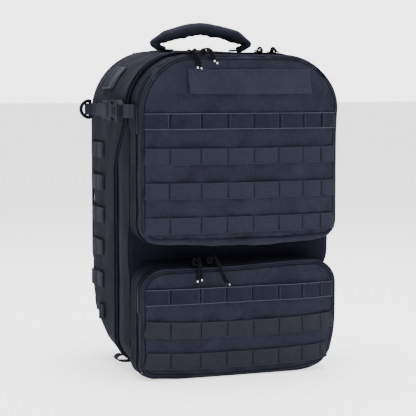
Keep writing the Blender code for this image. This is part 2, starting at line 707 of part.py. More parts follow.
# ---------------------------------------------------------------- back: pads, harness

def pad(name, half_w, z, y, corner, spec):
    """A flat pad with round corners and a thinned rear edge."""
    edge = 3 * MM
    full = outline(half_w, z[0], z[1], corner, corner, 4, 4)
    thin = outline(half_w - edge, z[0] + edge, z[1] - edge, corner - edge, corner - edge, 4, 4)
    return smooth(loft(name, [(y[0], full), (y[1] - edge, full), (y[1], thin)], spec))


def make_back():
    near = BACK_Y + GAP
    pad("back_pad", 118 * MM, (242 * MM, 448 * MM), (near, near + PAD_T), 26 * MM, MESH_PAD)
    pad("lumbar_pad", 118 * MM, (162 * MM, 234 * MM), (near, near + PAD_T), 26 * MM, MESH_PAD)
    sheet_rear = BACK_Y - WALL - GAP
    loop = outline(118 * MM, 175 * MM, 455 * MM, 60 * MM, 20 * MM, 4, 3)
    smooth(loft("frame_sheet", [(sheet_rear - SHEET_T, loop), (sheet_rear, loop)], SHEET))
    shelf_half_w = BODY_HALF_W - WALL - 3 * MM
    low = (-shelf_half_w, SEAM_LOW_Y + 6 * MM, SHELF_Z)
    high = (shelf_half_w, sheet_rear - SHEET_T - GAP, SHELF_Z + SHELF_T)
    box("divider_shelf", low, high, FABRIC)


def strap_solid(name, stations, half_w, spec, pivot):
    """A harness strap through stations of x, z and the depths of its inner and outer face."""
    rings = []
    for i, (x, z, inner, outer) in enumerate(stations):
        before, after = stations[max(i - 1, 0)], stations[min(i + 1, len(stations) - 1)]
        along = Vector((after[0] - before[0], 0, after[1] - before[1])).normalized()
        side = Vector((along.z, 0, -along.x)) * half_w
        near, far = Vector((x, inner, z)), Vector((x, outer, z))
        rings.append([near - side, near + side, far + side, far - side])
    return add(name, rings_to_bmesh(rings), spec, pivot)


def make_shoulder_strap(side, name, inner, pivot):
    """The strap is sewn flat above the back pad, then lies over the pad at its full thickness."""
    outer = inner + SHOULDER_T
    stations = [(50, 473, BACK_Y + 1 * MM, BACK_Y + 5 * MM), (51, 462, BACK_Y + 4 * MM, BACK_Y + 13 * MM)]
    stations += [(x, z, inner, outer) for x, z in SHOULDER_RUN]
    placed = [(side * x * MM, z * MM, near, far) for x, z, near, far in stations]
    return strap_solid("shoulder_strap_" + name, placed, SHOULDER_HALF_W, MESH_PAD, pivot)


def make_ladder_lock(side, name, mid_y, pivot):
    x = side * SHOULDER_RUN[-1][0] * MM
    top = SHOULDER_RUN[-1][1] * MM - LOCK_DROP
    low = (x - LOCK_W / 2, mid_y - LOCK_T / 2, top - LOCK_H)
    lock = box("ladder_lock_" + name, low, (x + LOCK_W / 2, mid_y + LOCK_T / 2, top), PLASTIC, pivot)
    for down in (8 * MM, 18 * MM, 29 * MM):
        slot_low = (x - LOCK_SLOT_W / 2, 0, top - down)
        slot_high = (x + LOCK_SLOT_W / 2, 2 * mid_y, top - down + LOCK_SLOT_H)
        boolean(lock, box("slot", slot_low, slot_high))


def make_sternum_half(side, name, outer, pivot):
    """One half of the sternum strap with its buckle half, lying unbuckled beside the other."""
    near = outer + GAP
    reach = sorted((side * CLIP_INNER_X, side * CHEST_OUTER_X))
    low = (reach[0], near, CHEST_Z - CHEST_W / 2)
    high = (reach[1], near + WEB_T, CHEST_Z + CHEST_W / 2)
    half = box("sternum_strap_" + name, low, high, WEBBING, pivot)
    clip = sorted((side * CLIP_INNER_X, side * CLIP_OUTER_X))
    low = (clip[0], near + 0.4 * MM, CHEST_Z - CLIP_H / 2)
    boolean(half, box("clip", low, (clip[1], near + CLIP_T, CHEST_Z + CLIP_H / 2)), "UNION")


def make_harness():
    inner = BACK_Y + GAP + PAD_T + 1 * MM
    mid_y = inner + SHOULDER_T / 2
    for side, name in ((-1, "left"), (1, "right")):
        pivot = (side * 50 * MM, BACK_Y + 3 * MM, 473 * MM)
        make_shoulder_strap(side, name, inner, pivot)
        make_ladder_lock(side, name, mid_y, pivot)
        make_sternum_half(side, name, inner + SHOULDER_T, pivot)
        run = [(138, 119, 85), (130, 131, 96), (115, 140, 107), (103, 142, 113)]
        path = [(side * x * MM, y * MM, z * MM) for x, y, z in run]
        tape = ribbon(curve_through(path, 3), WEB / 2, WEB_T, (side * 0.63, 0, 0.78))
        add("lower_strap_" + name, tape, WEBBING, path[0])


def clear_scene():
    for obj in list(bpy.data.objects):
        bpy.data.objects.remove(obj, do_unlink=True)


def main():
    clear_scene()
    make_body_shells()
    make_main_zip()
    make_pockets()
    make_id_flap()
    make_zip_hardware()
    make_handle()
    make_side_webbing()
    make_compression_straps()
    make_tube_port()
    make_zip_end_loops()
    make_back()
    make_harness()


main()
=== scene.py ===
"""The looks of the trauma backpack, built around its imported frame.

Everything is in metres in the frame's own axes: +Z up, -Y out of the front pockets.
Soft goods are dense sheets shaped by formula. A short cloth simulation then settles the two pocket fronts.
"""

import math

import bmesh
import bpy
import numpy as np
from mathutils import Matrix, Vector
from mathutils.bvhtree import BVHTree


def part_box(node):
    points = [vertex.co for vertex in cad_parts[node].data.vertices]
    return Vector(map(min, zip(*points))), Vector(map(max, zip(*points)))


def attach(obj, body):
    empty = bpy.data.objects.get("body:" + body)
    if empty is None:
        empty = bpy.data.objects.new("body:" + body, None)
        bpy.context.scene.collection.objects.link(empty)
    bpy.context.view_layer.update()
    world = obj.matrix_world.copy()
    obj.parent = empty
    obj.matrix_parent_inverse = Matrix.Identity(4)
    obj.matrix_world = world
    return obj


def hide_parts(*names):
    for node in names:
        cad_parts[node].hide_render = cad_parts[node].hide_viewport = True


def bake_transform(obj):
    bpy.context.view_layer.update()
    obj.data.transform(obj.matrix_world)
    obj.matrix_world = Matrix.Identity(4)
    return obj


MM = 0.001

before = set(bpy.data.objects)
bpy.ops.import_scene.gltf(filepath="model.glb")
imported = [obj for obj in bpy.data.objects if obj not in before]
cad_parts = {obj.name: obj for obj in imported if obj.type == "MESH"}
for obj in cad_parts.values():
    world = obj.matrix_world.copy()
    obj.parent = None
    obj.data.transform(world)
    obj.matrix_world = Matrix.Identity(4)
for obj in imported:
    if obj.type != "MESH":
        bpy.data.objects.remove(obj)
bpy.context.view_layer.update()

# ---------------------------------------------------------------- sizes read from the frame

REAR_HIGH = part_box("rear_shell")[1]
LID_LOW, LID_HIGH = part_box("lid_shell")
UPPER_LOW, UPPER_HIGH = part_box("upper_pocket_gusset")
LOWER_LOW, LOWER_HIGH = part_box("lower_pocket_gusset")
UPPER_PANEL_LOW, UPPER_PANEL_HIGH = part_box("upper_pocket_panel")
LOWER_PANEL_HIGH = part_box("lower_pocket_panel")[1]

HALF_W = REAR_HIGH.x
BACK_Y = REAR_HIGH.y
TOP_REAR = REAR_HIGH.z
TOP_FRONT = LID_HIGH.z
LID_Y = LID_LOW.y
POCKET_W = UPPER_HIGH.x
FACE_Y = UPPER_PANEL_LOW.y
ZIP_Y = UPPER_LOW.y
UPPER_FOLD = UPPER_PANEL_HIGH.z
LOWER_FOLD = LOWER_PANEL_HIGH.z

# Shape of the body, the same as the frame's
CORNER_FRONT = 84 * MM
CORNER_REAR = 100 * MM
CORNER_BASE = 45 * MM
SLOPE_START_Y = -50 * MM
SLOPE_END_Y = 60 * MM
BASE_REAR_Y = 20 * MM
LUMBAR_Z = 150 * MM
SEAM_LOW_Y = LID_HIGH.y + 0.3 * MM
SEAM_HIGH_Y = -66 * MM
SEAM_TURN = (300 * MM, 395 * MM)
UPPER_R = (84 * MM, 24 * MM)
LOWER_R = (38 * MM, 22 * MM)

WEB = 25.4 * MM
UPPER_TACKS = [x * MM for x in (-152, -114, -66, -24, 18, 59, 98, 129, 153)]
LOWER_TACKS = [x * MM for x in (-152, -114, -68, -26, 16, 57, 96, 128, 151)]
CLOTH_T = 1.2 * MM


# ---------------------------------------------------------------- mesh tools

def smoothstep(value, low, high):
    share = np.clip((value - low) / (high - low), 0, 1)
    return share * share * (3 - 2 * share)


def ripple(points, wavelength, seed, stretch=(1, 1, 1)):
    """Smooth random waves, about -1 to 1. A larger stretch along an axis makes more waves along it."""
    rng = np.random.default_rng(seed)
    total = np.zeros(points.shape[:-1])
    waves = 8
    for _ in range(waves):
        direction = rng.normal(size=3)
        direction /= np.linalg.norm(direction)
        direction = direction * np.array(stretch) * math.tau / (wavelength * rng.uniform(0.7, 1.5))
        total += np.sin(points @ direction + rng.uniform(0, math.tau))
    return total / math.sqrt(waves * 1.6)


def grid_part(grid, loop_u=False, loop_v=False):
    """Quads over an array of rows x columns x 3 points, with UVs in metres of cloth."""
    rows, cols = grid.shape[:2]
    across = np.arange(cols if loop_u else cols - 1)
    up = np.arange(rows if loop_v else rows - 1)[:, None]
    right, above = (across + 1) % cols, (up + 1) % rows
    quads = np.stack(
        [up * cols + across, up * cols + right, above * cols + right, above * cols + across], -1
    )
    wrapped = np.concatenate([grid, grid[:, :1]], 1)
    u_at = np.concatenate([[0], np.cumsum(np.linalg.norm(np.diff(wrapped, axis=1), axis=2).mean(0))])
    wrapped = np.concatenate([grid, grid[:1]], 0)
    v_at = np.concatenate([[0], np.cumsum(np.linalg.norm(np.diff(wrapped, axis=0), axis=2).mean(1))])
    u0, u1 = u_at[across] + 0 * up, u_at[across + 1] + 0 * up
    v0, v1 = v_at[up] + 0 * across, v_at[up + 1] + 0 * across
    uvs = np.stack([np.stack(pair, -1) for pair in ((u0, v0), (u1, v0), (u1, v1), (u0, v1))], 2)
    return grid.reshape(-1, 3), quads.reshape(-1, 4), uvs.reshape(-1, 4, 2)


def make(name, parts, material, weld=False, smooth=True):
    """One object from several grid parts."""
    points, quads, uvs = [], [], []
    count = 0
    for part_points, part_quads, part_uvs in parts:
        points.append(part_points)
        quads.append(part_quads + count)
        uvs.append(part_uvs)
        count += len(part_points)
    mesh = bpy.data.meshes.new(name)
    mesh.from_pydata(np.concatenate(points).tolist(), [], np.concatenate(quads).tolist())
    layer = mesh.uv_layers.new(name="cloth")
    layer.data.foreach_set("uv", np.concatenate(uvs).reshape(-1).astype(np.float32))
    if weld:
        edit = bmesh.new()
        edit.from_mesh(mesh)
        bmesh.ops.remove_doubles(edit, verts=edit.verts, dist=0.02 * MM)
        edit.to_mesh(mesh)
        edit.free()
    if smooth:
        mesh.shade_smooth()
    mesh.materials.append(material)
    piece = bpy.data.objects.new(name, mesh)
    bpy.context.scene.collection.objects.link(piece)
    return piece


def join(pieces):
    """Joins plain meshes into the first of them."""
    target = pieces[0]
    edit = bmesh.new()
    slots = []
    for piece in pieces:
        start = len(edit.faces)
        edit.from_mesh(piece.data)
        edit.faces.ensure_lookup_table()
        material = piece.data.materials[0]
        if material not in slots:
            slots.append(material)
        for face in edit.faces[start:]:
            face.material_index = slots.index(material)
    target.data.materials.clear()
    for material in slots:
        target.data.materials.append(material)
    edit.to_mesh(target.data)
    edit.free()
    for piece in pieces[1:]:
        bpy.data.objects.remove(piece)
    return target


def coords(piece):
    flat = np.zeros(len(piece.data.vertices) * 3)
    piece.data.vertices.foreach_get("co", flat)
    return flat.reshape(-1, 3)


def set_coords(piece, points):
    piece.data.vertices.foreach_set("co", points.reshape(-1).astype(np.float32))
    piece.data.update()


def apply_modifiers(piece):
    graph = bpy.context.evaluated_depsgraph_get()
    made = bpy.data.meshes.new_from_object(piece.evaluated_get(graph))
    piece.modifiers.clear()
    piece.data = made
    return piece


def thicken(piece, thickness=CLOTH_T, offset=-1.0):
    """Gives a sheet real cloth thickness, on the inner side unless offset says otherwise."""
    modifier = piece.modifiers.new("cloth", "SOLIDIFY")
    modifier.thickness = thickness
    modifier.offset = offset
    return apply_modifiers(piece)


def face_out(piece, inside):
    """Turns the sheet's faces away from a point inside the bag."""
    edit = bmesh.new()
    edit.from_mesh(piece.data)
    bmesh.ops.recalc_face_normals(edit, faces=edit.faces)
    score = sum((f.calc_center_median() - Vector(inside)).dot(f.normal) * f.calc_area() for f in edit.faces)
    if score < 0:
        bmesh.ops.reverse_faces(edit, faces=edit.faces)
    edit.to_mesh(piece.data)
    edit.free()
    return piece


def frames_along(path, normals, closed=False):
    """Unit tangents, sideways directions and normals along a path."""
    path = np.asarray(path, float)
    if closed:
        tangents = np.roll(path, -1, 0) - np.roll(path, 1, 0)
    else:
        tangents = np.gradient(path, axis=0)
    tangents /= np.linalg.norm(tangents, axis=1)[:, None]
    normals = np.broadcast_to(np.asarray(normals, float), path.shape)
    sides = np.cross(tangents, normals)
    sides /= np.linalg.norm(sides, axis=1)[:, None]
    return tangents, sides, np.cross(sides, tangents)


def sweep_part(path, normals, profile, closed=False, scale=None):
    """A closed profile of (sideways, outward) points carried along a path, with its ends closed."""
    path = np.asarray(path, float)
    _, sides, ups = frames_along(path, normals, closed)
    profile = np.asarray(profile, float)
    scale = np.ones(len(path)) if scale is None else np.asarray(scale, float)
    grid = path[:, None] + scale[:, None, None] * (
        sides[:, None] * profile[None, :, :1] + ups[:, None] * profile[None, :, 1:]
    )
    if not closed:
        first, last = grid[0].mean(0), grid[-1].mean(0)
        close = lambda ring, centre: centre + (ring - centre) * 0.02
        grid = np.concatenate([close(grid[0], first)[None], grid, close(grid[-1], last)[None]])
    return grid_part(grid, loop_u=True, loop_v=closed)


def round_profile(radius, sides=10, squash=1.0):
    turns = np.linspace(0, math.tau, sides, endpoint=False)
    return np.stack([radius * np.cos(turns), radius * squash * np.sin(turns)], 1)


def tape_profile(width, thickness, bead=0.25 * MM):
    """A woven tape's section: flat, with slightly thicker woven edges."""
    half = width / 2
    across = np.array([-1, -0.94, -0.86, -0.5, 0, 0.5, 0.86, 0.94, 1.0]) * half
    raised = np.array([0.55, 1, 0.1, 0, 0, 0, 0.1, 1, 0.55]) * bead
    top = np.stack(
        [across, thickness / 2 + raised - np.array([0.4, 0, 0, 0, 0, 0, 0, 0, 0.4]) * thickness], 1
    )
    low = np.stack(
        [across[::-1], -thickness / 2 + np.array([0.4, 0, 0, 0, 0, 0, 0, 0, 0.4]) * thickness], 1
    )
    return np.concatenate([top, low])[::-1]


def spline(points, steps=8):
    """A smooth Catmull-Rom curve through points."""
    ends = np.asarray(points, float)
    ends = np.concatenate([[2 * ends[0] - ends[1]], ends, [2 * ends[-1] - ends[-2]]])
    share = np.linspace(0, 1, steps, endpoint=False)[:, None]
    made = []
    for a, b, c, d in zip(ends, ends[1:], ends[2:], ends[3:]):
        made.append(
            0.5 * (
                2 * b + (c - a) * share + (2 * a - 5 * b + 4 * c - d) * share**2 + (
                    3 * b - a - 3 * c + d
                ) * share**3
            )
        )
    return np.concatenate(made + [ends[-2][None]])


def even(path, step):
    """The same path with points a given step apart."""
    path = np.asarray(path, float)
    run = np.concatenate([[0], np.cumsum(np.linalg.norm(np.diff(path, axis=0), axis=1))])
    count = max(2, int(round(run[-1] / step)) + 1)
    at = np.linspace(0, run[-1], count)
    return np.stack([np.interp(at, run, path[:, k]) for k in range(path.shape[1])], 1)


def blocks_part(centres, along, across, up, size, taper=0.6):
    """Many small blocks: size is (along, across, up), and the top is narrower by taper."""
    corners = []
    for lift, share in ((-0.5, 1.0), (0.5, taper)):
        for a, b in ((-0.5, -0.5), (0.5, -0.5), (0.5, 0.5), (-0.5, 0.5)):
            corners.append(
                centres + along * size[0] * a * share + across * size[1] * b * share + up * size[2] * lift
            )
    points = np.stack(corners, 1)
    faces = np.array([(3, 2, 1, 0), (4, 5, 6, 7), (0, 1, 5, 4), (1, 2, 6, 5), (2, 3, 7, 6), (3, 0, 4, 7)])
    quads = (np.arange(len(points))[:, None, None] * 8 + faces).reshape(-1, 4)
    square = np.array([(0, 0), (1, 0), (1, 1), (0, 1)]) * size[0]
    return points.reshape(-1, 3), quads, np.broadcast_to(square, (len(quads), 4, 2)).copy()


def stitches(path, normals, pitch=3.2 * MM, length=2.3 * MM, width=0.7 * MM):
    """A row of thread stitches lying on a path."""
    path = np.asarray(path, float)
    normals = np.broadcast_to(np.asarray(normals, float), path.shape)
    dense = even(np.concatenate([path, normals], 1) * (1, 1, 1, 1e-6, 1e-6, 1e-6), pitch)
    tangents, sides, ups = frames_along(dense[:, :3], dense[:, 3:] * 1e6)
    return blocks_part(dense[:, :3], tangents, sides, ups, (length, width, 0.5 * MM))


# ---------------------------------------------------------------- cloth simulation

def settle(piece, pinned, pressure, slack, most, frames=18):
    """Blows a pinned sheet out a little, as padding or contents would. most caps how far a point moves."""
    before = coords(piece)
    group = piece.vertex_groups.new(name="pinned")
    weights = np.clip(pinned, 0, 1)
    for level in np.unique(np.round(weights, 1)):
        if level > 0:
            members = np.nonzero(np.round(weights, 1) == level)[0]
            group.add(members.tolist(), float(level), "REPLACE")
    modifier = piece.modifiers.new("puff", "CLOTH")
    cloth = modifier.settings
    cloth.vertex_group_mass = group.name
    cloth.quality = 5
    cloth.mass = 0.25
    cloth.tension_stiffness = 25
    cloth.compression_stiffness = 25
    cloth.shear_stiffness = 8
    cloth.bending_stiffness = 1.2
    cloth.use_pressure = True
    cloth.uniform_pressure_force = pressure
    cloth.shrink_min = -slack
    cloth.effector_weights.gravity = 0
    modifier.collision_settings.use_collision = False
    scene = bpy.context.scene
    modifier.point_cache.frame_start = 1
    modifier.point_cache.frame_end = frames
    for number in range(1, frames + 1):
        scene.frame_set(number)
    graph = bpy.context.evaluated_depsgraph_get()
    after = np.array([v.co for v in piece.evaluated_get(graph).data.vertices])
    piece.modifiers.clear()
    piece.vertex_groups.clear()
    scene.frame_set(1)
    moved = after - before
    length = np.linalg.norm(moved, axis=1)[:, None]
    limit = most * np.tanh(length / most) / np.maximum(length, 1e-9)
    set_coords(piece, before + moved * limit)
    return piece


# ---------------------------------------------------------------- outlines of the bag

def loop_template(base, base_corner, side, top_corner, top):
    """Run, share along it and side of every point round an outline, anticlockwise from the base's middle."""
    counts = (base, base_corner, side, top_corner, top)
    runs = np.concatenate([np.full(n, k) for k, n in enumerate(counts)] + [[4]])
    shares = np.concatenate([np.arange(n) / n for n in counts] + [[1.0]])
    right = np.stack([runs, shares, np.ones(len(runs))], 1)
    left = right[::-1][1:-1] * (1, 1, -1)
    return np.concatenate([right, left])


def outline_xz(template, half_w, low, high, r_top, r_base):
    """Points and outward normals in X and Z. Each size is one number, or one for every point."""
    run, share, side = template.T
    low_turn, top_turn = (share - 1) * math.pi / 2, share * math.pi / 2
    runs = [run == k for k in range(5)]
    none, full = np.zeros(len(run)), np.ones(len(run))
    x = [
        share * (half_w - r_base),
        half_w - r_base + r_base * np.cos(low_turn),
        half_w * full,
        half_w - r_top + r_top * np.cos(top_turn),
        (half_w - r_top) * (1 - share),
    ]
    z = [
        low * full,
        low + r_base + r_base * np.sin(low_turn),
        (low + r_base) * (1 - share) + (high - r_top) * share,
        high - r_top + r_top * np.sin(top_turn),
        high * full,
    ]
    out_x = [none, np.cos(low_turn), full, np.cos(top_turn), none]
    out_z = [-full, np.sin(low_turn), none, np.sin(top_turn), full]
    points = np.stack([side * np.select(runs, x), np.select(runs, z)], 1)
    return points, np.stack([side * np.select(runs, out_x), np.select(runs, out_z)], 1)


def seam_y(z):
    return SEAM_LOW_Y + (SEAM_HIGH_Y - SEAM_LOW_Y) * smoothstep(z, *SEAM_TURN)


def body_sizes(y):
    """The body's outline at depth y: its base sweeps up behind, and its top slopes up to the back."""
    rise = np.clip((y - BASE_REAR_Y) / (BACK_Y - BASE_REAR_Y), 0, 1)
    slope = np.clip((y - SLOPE_START_Y) / (SLOPE_END_Y - SLOPE_START_Y), 0, 1)
    return {
        "half_w": HALF_W,
        "low": LUMBAR_Z * (1 - np.sqrt(1 - rise**2)),
        "high": TOP_FRONT + (TOP_REAR - TOP_FRONT) * slope,
        "r_top": CORNER_FRONT + (CORNER_REAR - CORNER_FRONT) * slope,
        "r_base": CORNER_BASE,
    }


def body_ring(template, y, lift=0.0):
    """One ring of points on the body at depth y, with their outward directions."""
    y = np.zeros(len(template)) + y
    points, out = outline_xz(template, **body_sizes(y))
    points = points + out * lift
    return np.stack([points[:, 0], y, points[:, 1]], 1), np.stack([out[:, 0], 0 * y, out[:, 1]], 1)


def seam_ring(template, offset=0.0, lift=0.0):
    """The ring along the main seam, moved in depth by offset."""
    points, _ = body_ring(template, SEAM_LOW_Y)
    for _ in range(3):
        points, out = body_ring(template, seam_y(points[:, 2]) + offset, lift)
    return points, out


def flat_ring(template, sizes, y, inset=0.0):
    """One ring of a pocket or pad outline at depth y."""
    half_w, low, high, r_top, r_base = sizes
    points, out = outline_xz(
        template, half_w - inset, low + inset, high - inset, max(r_top - inset, MM), max(r_base - inset, MM)
    )
    y = np.zeros(len(points)) + y
    return np.stack([points[:, 0], y, points[:, 1]], 1), np.stack([out[:, 0], 0 * y, out[:, 1]], 1)


def inward_rings(ring, centre, count):
    """Rings that shrink from a ring to its centre, all at their own depth."""
    shares = np.linspace(1, 0, count + 1)[1:]
    return [np.asarray(centre) + (ring - centre) * share for share in shares]


def shell_part(rings, face_from):
    """Rings to quads. Cloth runs round the bag on the sides, and lies straight on the face."""
    grid = np.stack(rings)
    points, quads, uvs = grid_part(grid, loop_u=True)
    face = quads[:, 0] >= face_from * grid.shape[1]
    uvs[face] = points[quads[face]][:, :, (0, 2)]
    return points, quads, uvs


BODY_TEMPLATE = loop_template(34, 16, 84, 34, 22)
POCKET_TEMPLATE = loop_template(38, 9, 48, 34, 24)
LOW_TEMPLATE = loop_template(38, 9, 32, 18, 34)
PAD_TEMPLATE = loop_template(26, 8, 40, 8, 26)


def surface(piece):
    graph = bpy.context.evaluated_depsgraph_get()
    return BVHTree.FromObject(piece, graph)


def cast(tree, points, direction, far=60 * MM):
    """Where lines through points along direction first meet a surface, coming from far outside."""
    direction = Vector(direction)
    made = []
    for point in points:
        hit = tree.ray_cast(Vector(point) - direction * far, direction)[0]
        made.append(tuple(hit) if hit else tuple(point))
    return np.array(made)


# ---------------------------------------------------------------- materials

def srgb(red, green, blue):
    """A colour given as it looks on screen, 0 to 255."""
    scaled = np.array([red, green, blue]) / 255
    linear = np.where(scaled <= 0.04045, scaled / 12.92, ((scaled + 0.055) / 1.055) ** 2.4)
    return (*linear.tolist(), 1.0)


class Nodes:
    """A short way to write a node tree."""

    def __init__(self, name):
        self.material = bpy.data.materials.new("look_" + name)
        self.material.use_nodes = True
        self.tree = self.material.node_tree
        self.shader = self.tree.nodes["Principled BSDF"]

    def node(self, kind, **values):
        made = self.tree.nodes.new(kind)
        for key, value in values.items():
            setattr(made, key, value)
        return made

    def link(self, source, target):
        self.tree.links.new(source, target)

    def math(self, operation, a, b=0.0, c=0.0):
        made = self.node("ShaderNodeMath", operation=operation)
        for socket, value in zip(made.inputs, (a, b, c)):
            if isinstance(value, (int, float)):
                socket.default_value = value
            else:
                self.link(value, socket)
        return made.outputs[0]

    def cloth_uv(self):
        """The two distances along the cloth, in metres."""
        split = self.node("ShaderNodeSeparateXYZ")
        self.link(self.node("ShaderNodeUVMap", uv_map="cloth").outputs[0], split.inputs[0])
        return split.outputs[0], split.outputs[1]

    def wave(self, value, period, phase=0.0):
        return self.math("SINE", self.math("MULTIPLY_ADD", value, math.tau / period, phase))

    def noise(self, size, detail=3.0, roughness=0.55, seed=0.0):
        """Noise in the object's own space whose blotches are about size across."""
        made = self.node("ShaderNodeTexNoise", noise_dimensions="4D")
        made.inputs["W"].default_value = seed
        made.inputs["Scale"].default_value = 1 / size
        made.inputs["Detail"].default_value = detail
        made.inputs["Roughness"].default_value = roughness
        self.link(self.node("ShaderNodeTexCoord").outputs["Object"], made.inputs["Vector"])
        return made.outputs["Fac"]

    def spread(self, value, low, high):
        made = self.node("ShaderNodeMapRange")
        self.link(value, made.inputs["Value"])
        made.inputs["From Min"].default_value = 0.3
        made.inputs["From Max"].default_value = 0.7
        made.inputs["To Min"].default_value = low
        made.inputs["To Max"].default_value = high
        return made.outputs["Result"]

    def mix(self, share, colour_a, colour_b):
        made = self.node("ShaderNodeMix", data_type="RGBA")
        self.link(share, made.inputs["Factor"])
        made.inputs["A"].default_value = colour_a
        made.inputs["B"].default_value = colour_b
        return made.outputs["Result"]

    def bump(self, height, distance, strength=1.0, below=None):
        made = self.node("ShaderNodeBump")
        made.inputs["Strength"].default_value = strength
        made.inputs["Distance"].default_value = distance
        self.link(height, made.inputs["Height"])
        if below is not None:
            self.link(below, made.inputs["Normal"])
        return made.outputs["Normal"]

    def finish(self, colour, roughness, normal, metallic=0.0, sheen=0.0, specular=0.4):
        self.link(colour, self.shader.inputs["Base Color"])
        self.link(roughness, self.shader.inputs["Roughness"])
        self.link(normal, self.shader.inputs["Normal"])
        self.shader.inputs["Metallic"].default_value = metallic
        self.shader.inputs["Sheen Weight"].default_value = sheen
        self.shader.inputs["Sheen Roughness"].default_value = 0.5
        self.shader.inputs["Specular IOR Level"].default_value = specular
        return self.material


def shade(colour, factor):
    return tuple(min(1.0, c * factor) for c in colour[:3]) + (1.0,)


def woven(
    name, colour, period=1.1 * MM, depth=0.12 * MM, contrast=0.2, sheen=0.02, rough=(0.85, 0.97), fuzz=0.0
):
    """Plain woven nylon: crossing yarns, soft blotches of tone and a little sheen."""
    n = Nodes(name)
    u, v = n.cloth_uv()
    warp, weft = n.wave(u, period), n.wave(v, period)
    weave = n.math("MULTIPLY", warp, weft)
    blotch = n.noise(38 * MM, 4.0, seed=len(name))
    speck = n.noise(3.2 * MM, 4.0, 0.8, seed=3.0)
    tone = n.math("MULTIPLY_ADD", n.spread(speck, -0.5, 0.5), 0.6 + fuzz, n.spread(blotch, 0.2, 0.8))
    tone = n.math("MULTIPLY_ADD", weave, 0.10, tone)
    colour_out = n.mix(tone, shade(colour, 1 - contrast), shade(colour, 1 + contrast))
    fine = n.bump(weave, depth, 0.5)
    rough_normal = n.bump(speck, (0.4 + fuzz) * MM, 0.6, fine)
    normal = n.bump(n.noise(11 * MM, 3.0, seed=7.0), 1.0 * MM, 0.5, rough_normal)
    return n.finish(colour_out, n.spread(blotch, *rough), normal, sheen=sheen, specular=0.05)


def webbing(name, colour, rib=1.5 * MM, contrast=0.2, sheen=0.02):
    """Heavy woven tape with ribs across it and rows of yarn along it."""
    n = Nodes(name)
    u, v = n.cloth_uv()
    ribs = n.wave(v, rib)
    yarns = n.wave(u, rib * 1.35)
    weave = n.math("MULTIPLY_ADD", n.math("MULTIPLY", ribs, yarns), 0.6, n.math("MULTIPLY", yarns, 0.5))
    speck = n.noise(1.8 * MM, 2.0, 0.7, seed=5.0)
    tone = n.math("MULTIPLY_ADD", weave, 0.22, n.spread(speck, 0.15, 0.85))
    colour_out = n.mix(tone, shade(colour, 1 - contrast), shade(colour, 1 + contrast))
    normal = n.bump(speck, 0.2 * MM, 0.4, n.bump(weave, 0.22 * MM, 0.8))
    return n.finish(colour_out, n.spread(speck, 0.78, 0.95), normal, sheen=sheen, specular=0.06)


def pile(name, colour):
    """Soft loop tape: short fuzzy loops with no direction."""
    n = Nodes(name)
    loops = n.noise(1.3 * MM, 4.0, 0.8, seed=2.0)
    blotch = n.noise(14 * MM, 3.0, seed=9.0)
    tone = n.math("MULTIPLY_ADD", n.spread(loops, -0.5, 0.5), 0.9, n.spread(blotch, 0.2, 0.8))
    colour_out = n.mix(tone, shade(colour, 0.72), shade(colour, 1.25))
    normal = n.bump(loops, 0.9 * MM, 0.8)
    return n.finish(colour_out, n.spread(blotch, 0.88, 0.98), normal, sheen=0.04, specular=0.05)


def spacer_mesh(name, colour):
    """Open knitted mesh: round holes in staggered rows."""
    n = Nodes(name)
    u, v = n.cloth_uv()
    period = 3.4 * MM
    holes = n.math("ADD", n.wave(u, period), n.wave(v, period * 0.62, 0.0))
    stagger = n.math("MULTIPLY", n.wave(u, period * 2), n.wave(v, period * 1.24))
    net = n.math("MULTIPLY_ADD", stagger, 0.8, holes)
    tone = n.math("MULTIPLY_ADD", net, 0.28, n.spread(n.noise(26 * MM, 3.0), 0.3, 0.7))
    colour_out = n.mix(tone, shade(colour, 0.45), shade(colour, 1.35))
    normal = n.bump(net, 0.7 * MM, 0.7)
    return n.finish(colour_out, n.spread(n.noise(3 * MM), 0.85, 0.97), normal, sheen=0.03, specular=0.06)


def moulded(name, colour, rough=(0.45, 0.62), grain=0.06 * MM, metallic=0.0, specular=0.14):
    """Moulded plastic, rubber or coated metal: a fine grain with rubbed, smoother patches."""
    n = Nodes(name)
    fine = n.noise(0.7 * MM, 3.0, 0.6, seed=4.0)
    rubbed = n.noise(12 * MM, 4.0, 0.6, seed=6.0)
    colour_out = n.mix(n.spread(rubbed, 0.1, 0.9), shade(colour, 0.85), shade(colour, 1.25))
    normal = n.bump(fine, grain, 0.6)
    return n.finish(colour_out, n.spread(rubbed, *rough), normal, metallic=metallic, specular=specular)


def braid(name, colour, period=1.3 * MM):
    """Braided cord: strands crossing on the slant."""
    n = Nodes(name)
    u, v = n.cloth_uv()
    one = n.wave(n.math("ADD", u, v), period)
    other = n.wave(n.math("SUBTRACT", u, v), period)
    cross = n.math("MAXIMUM", one, other)
    tone = n.math("MULTIPLY_ADD", cross, 0.35, n.spread(n.noise(4 * MM), 0.2, 0.7))
    colour_out = n.mix(tone, shade(colour, 0.6), shade(colour, 1.4))
    normal = n.bump(cross, 0.25 * MM, 0.8)
    return n.finish(colour_out, n.spread(n.noise(3 * MM), 0.5, 0.75), normal, sheen=0.01, specular=0.06)


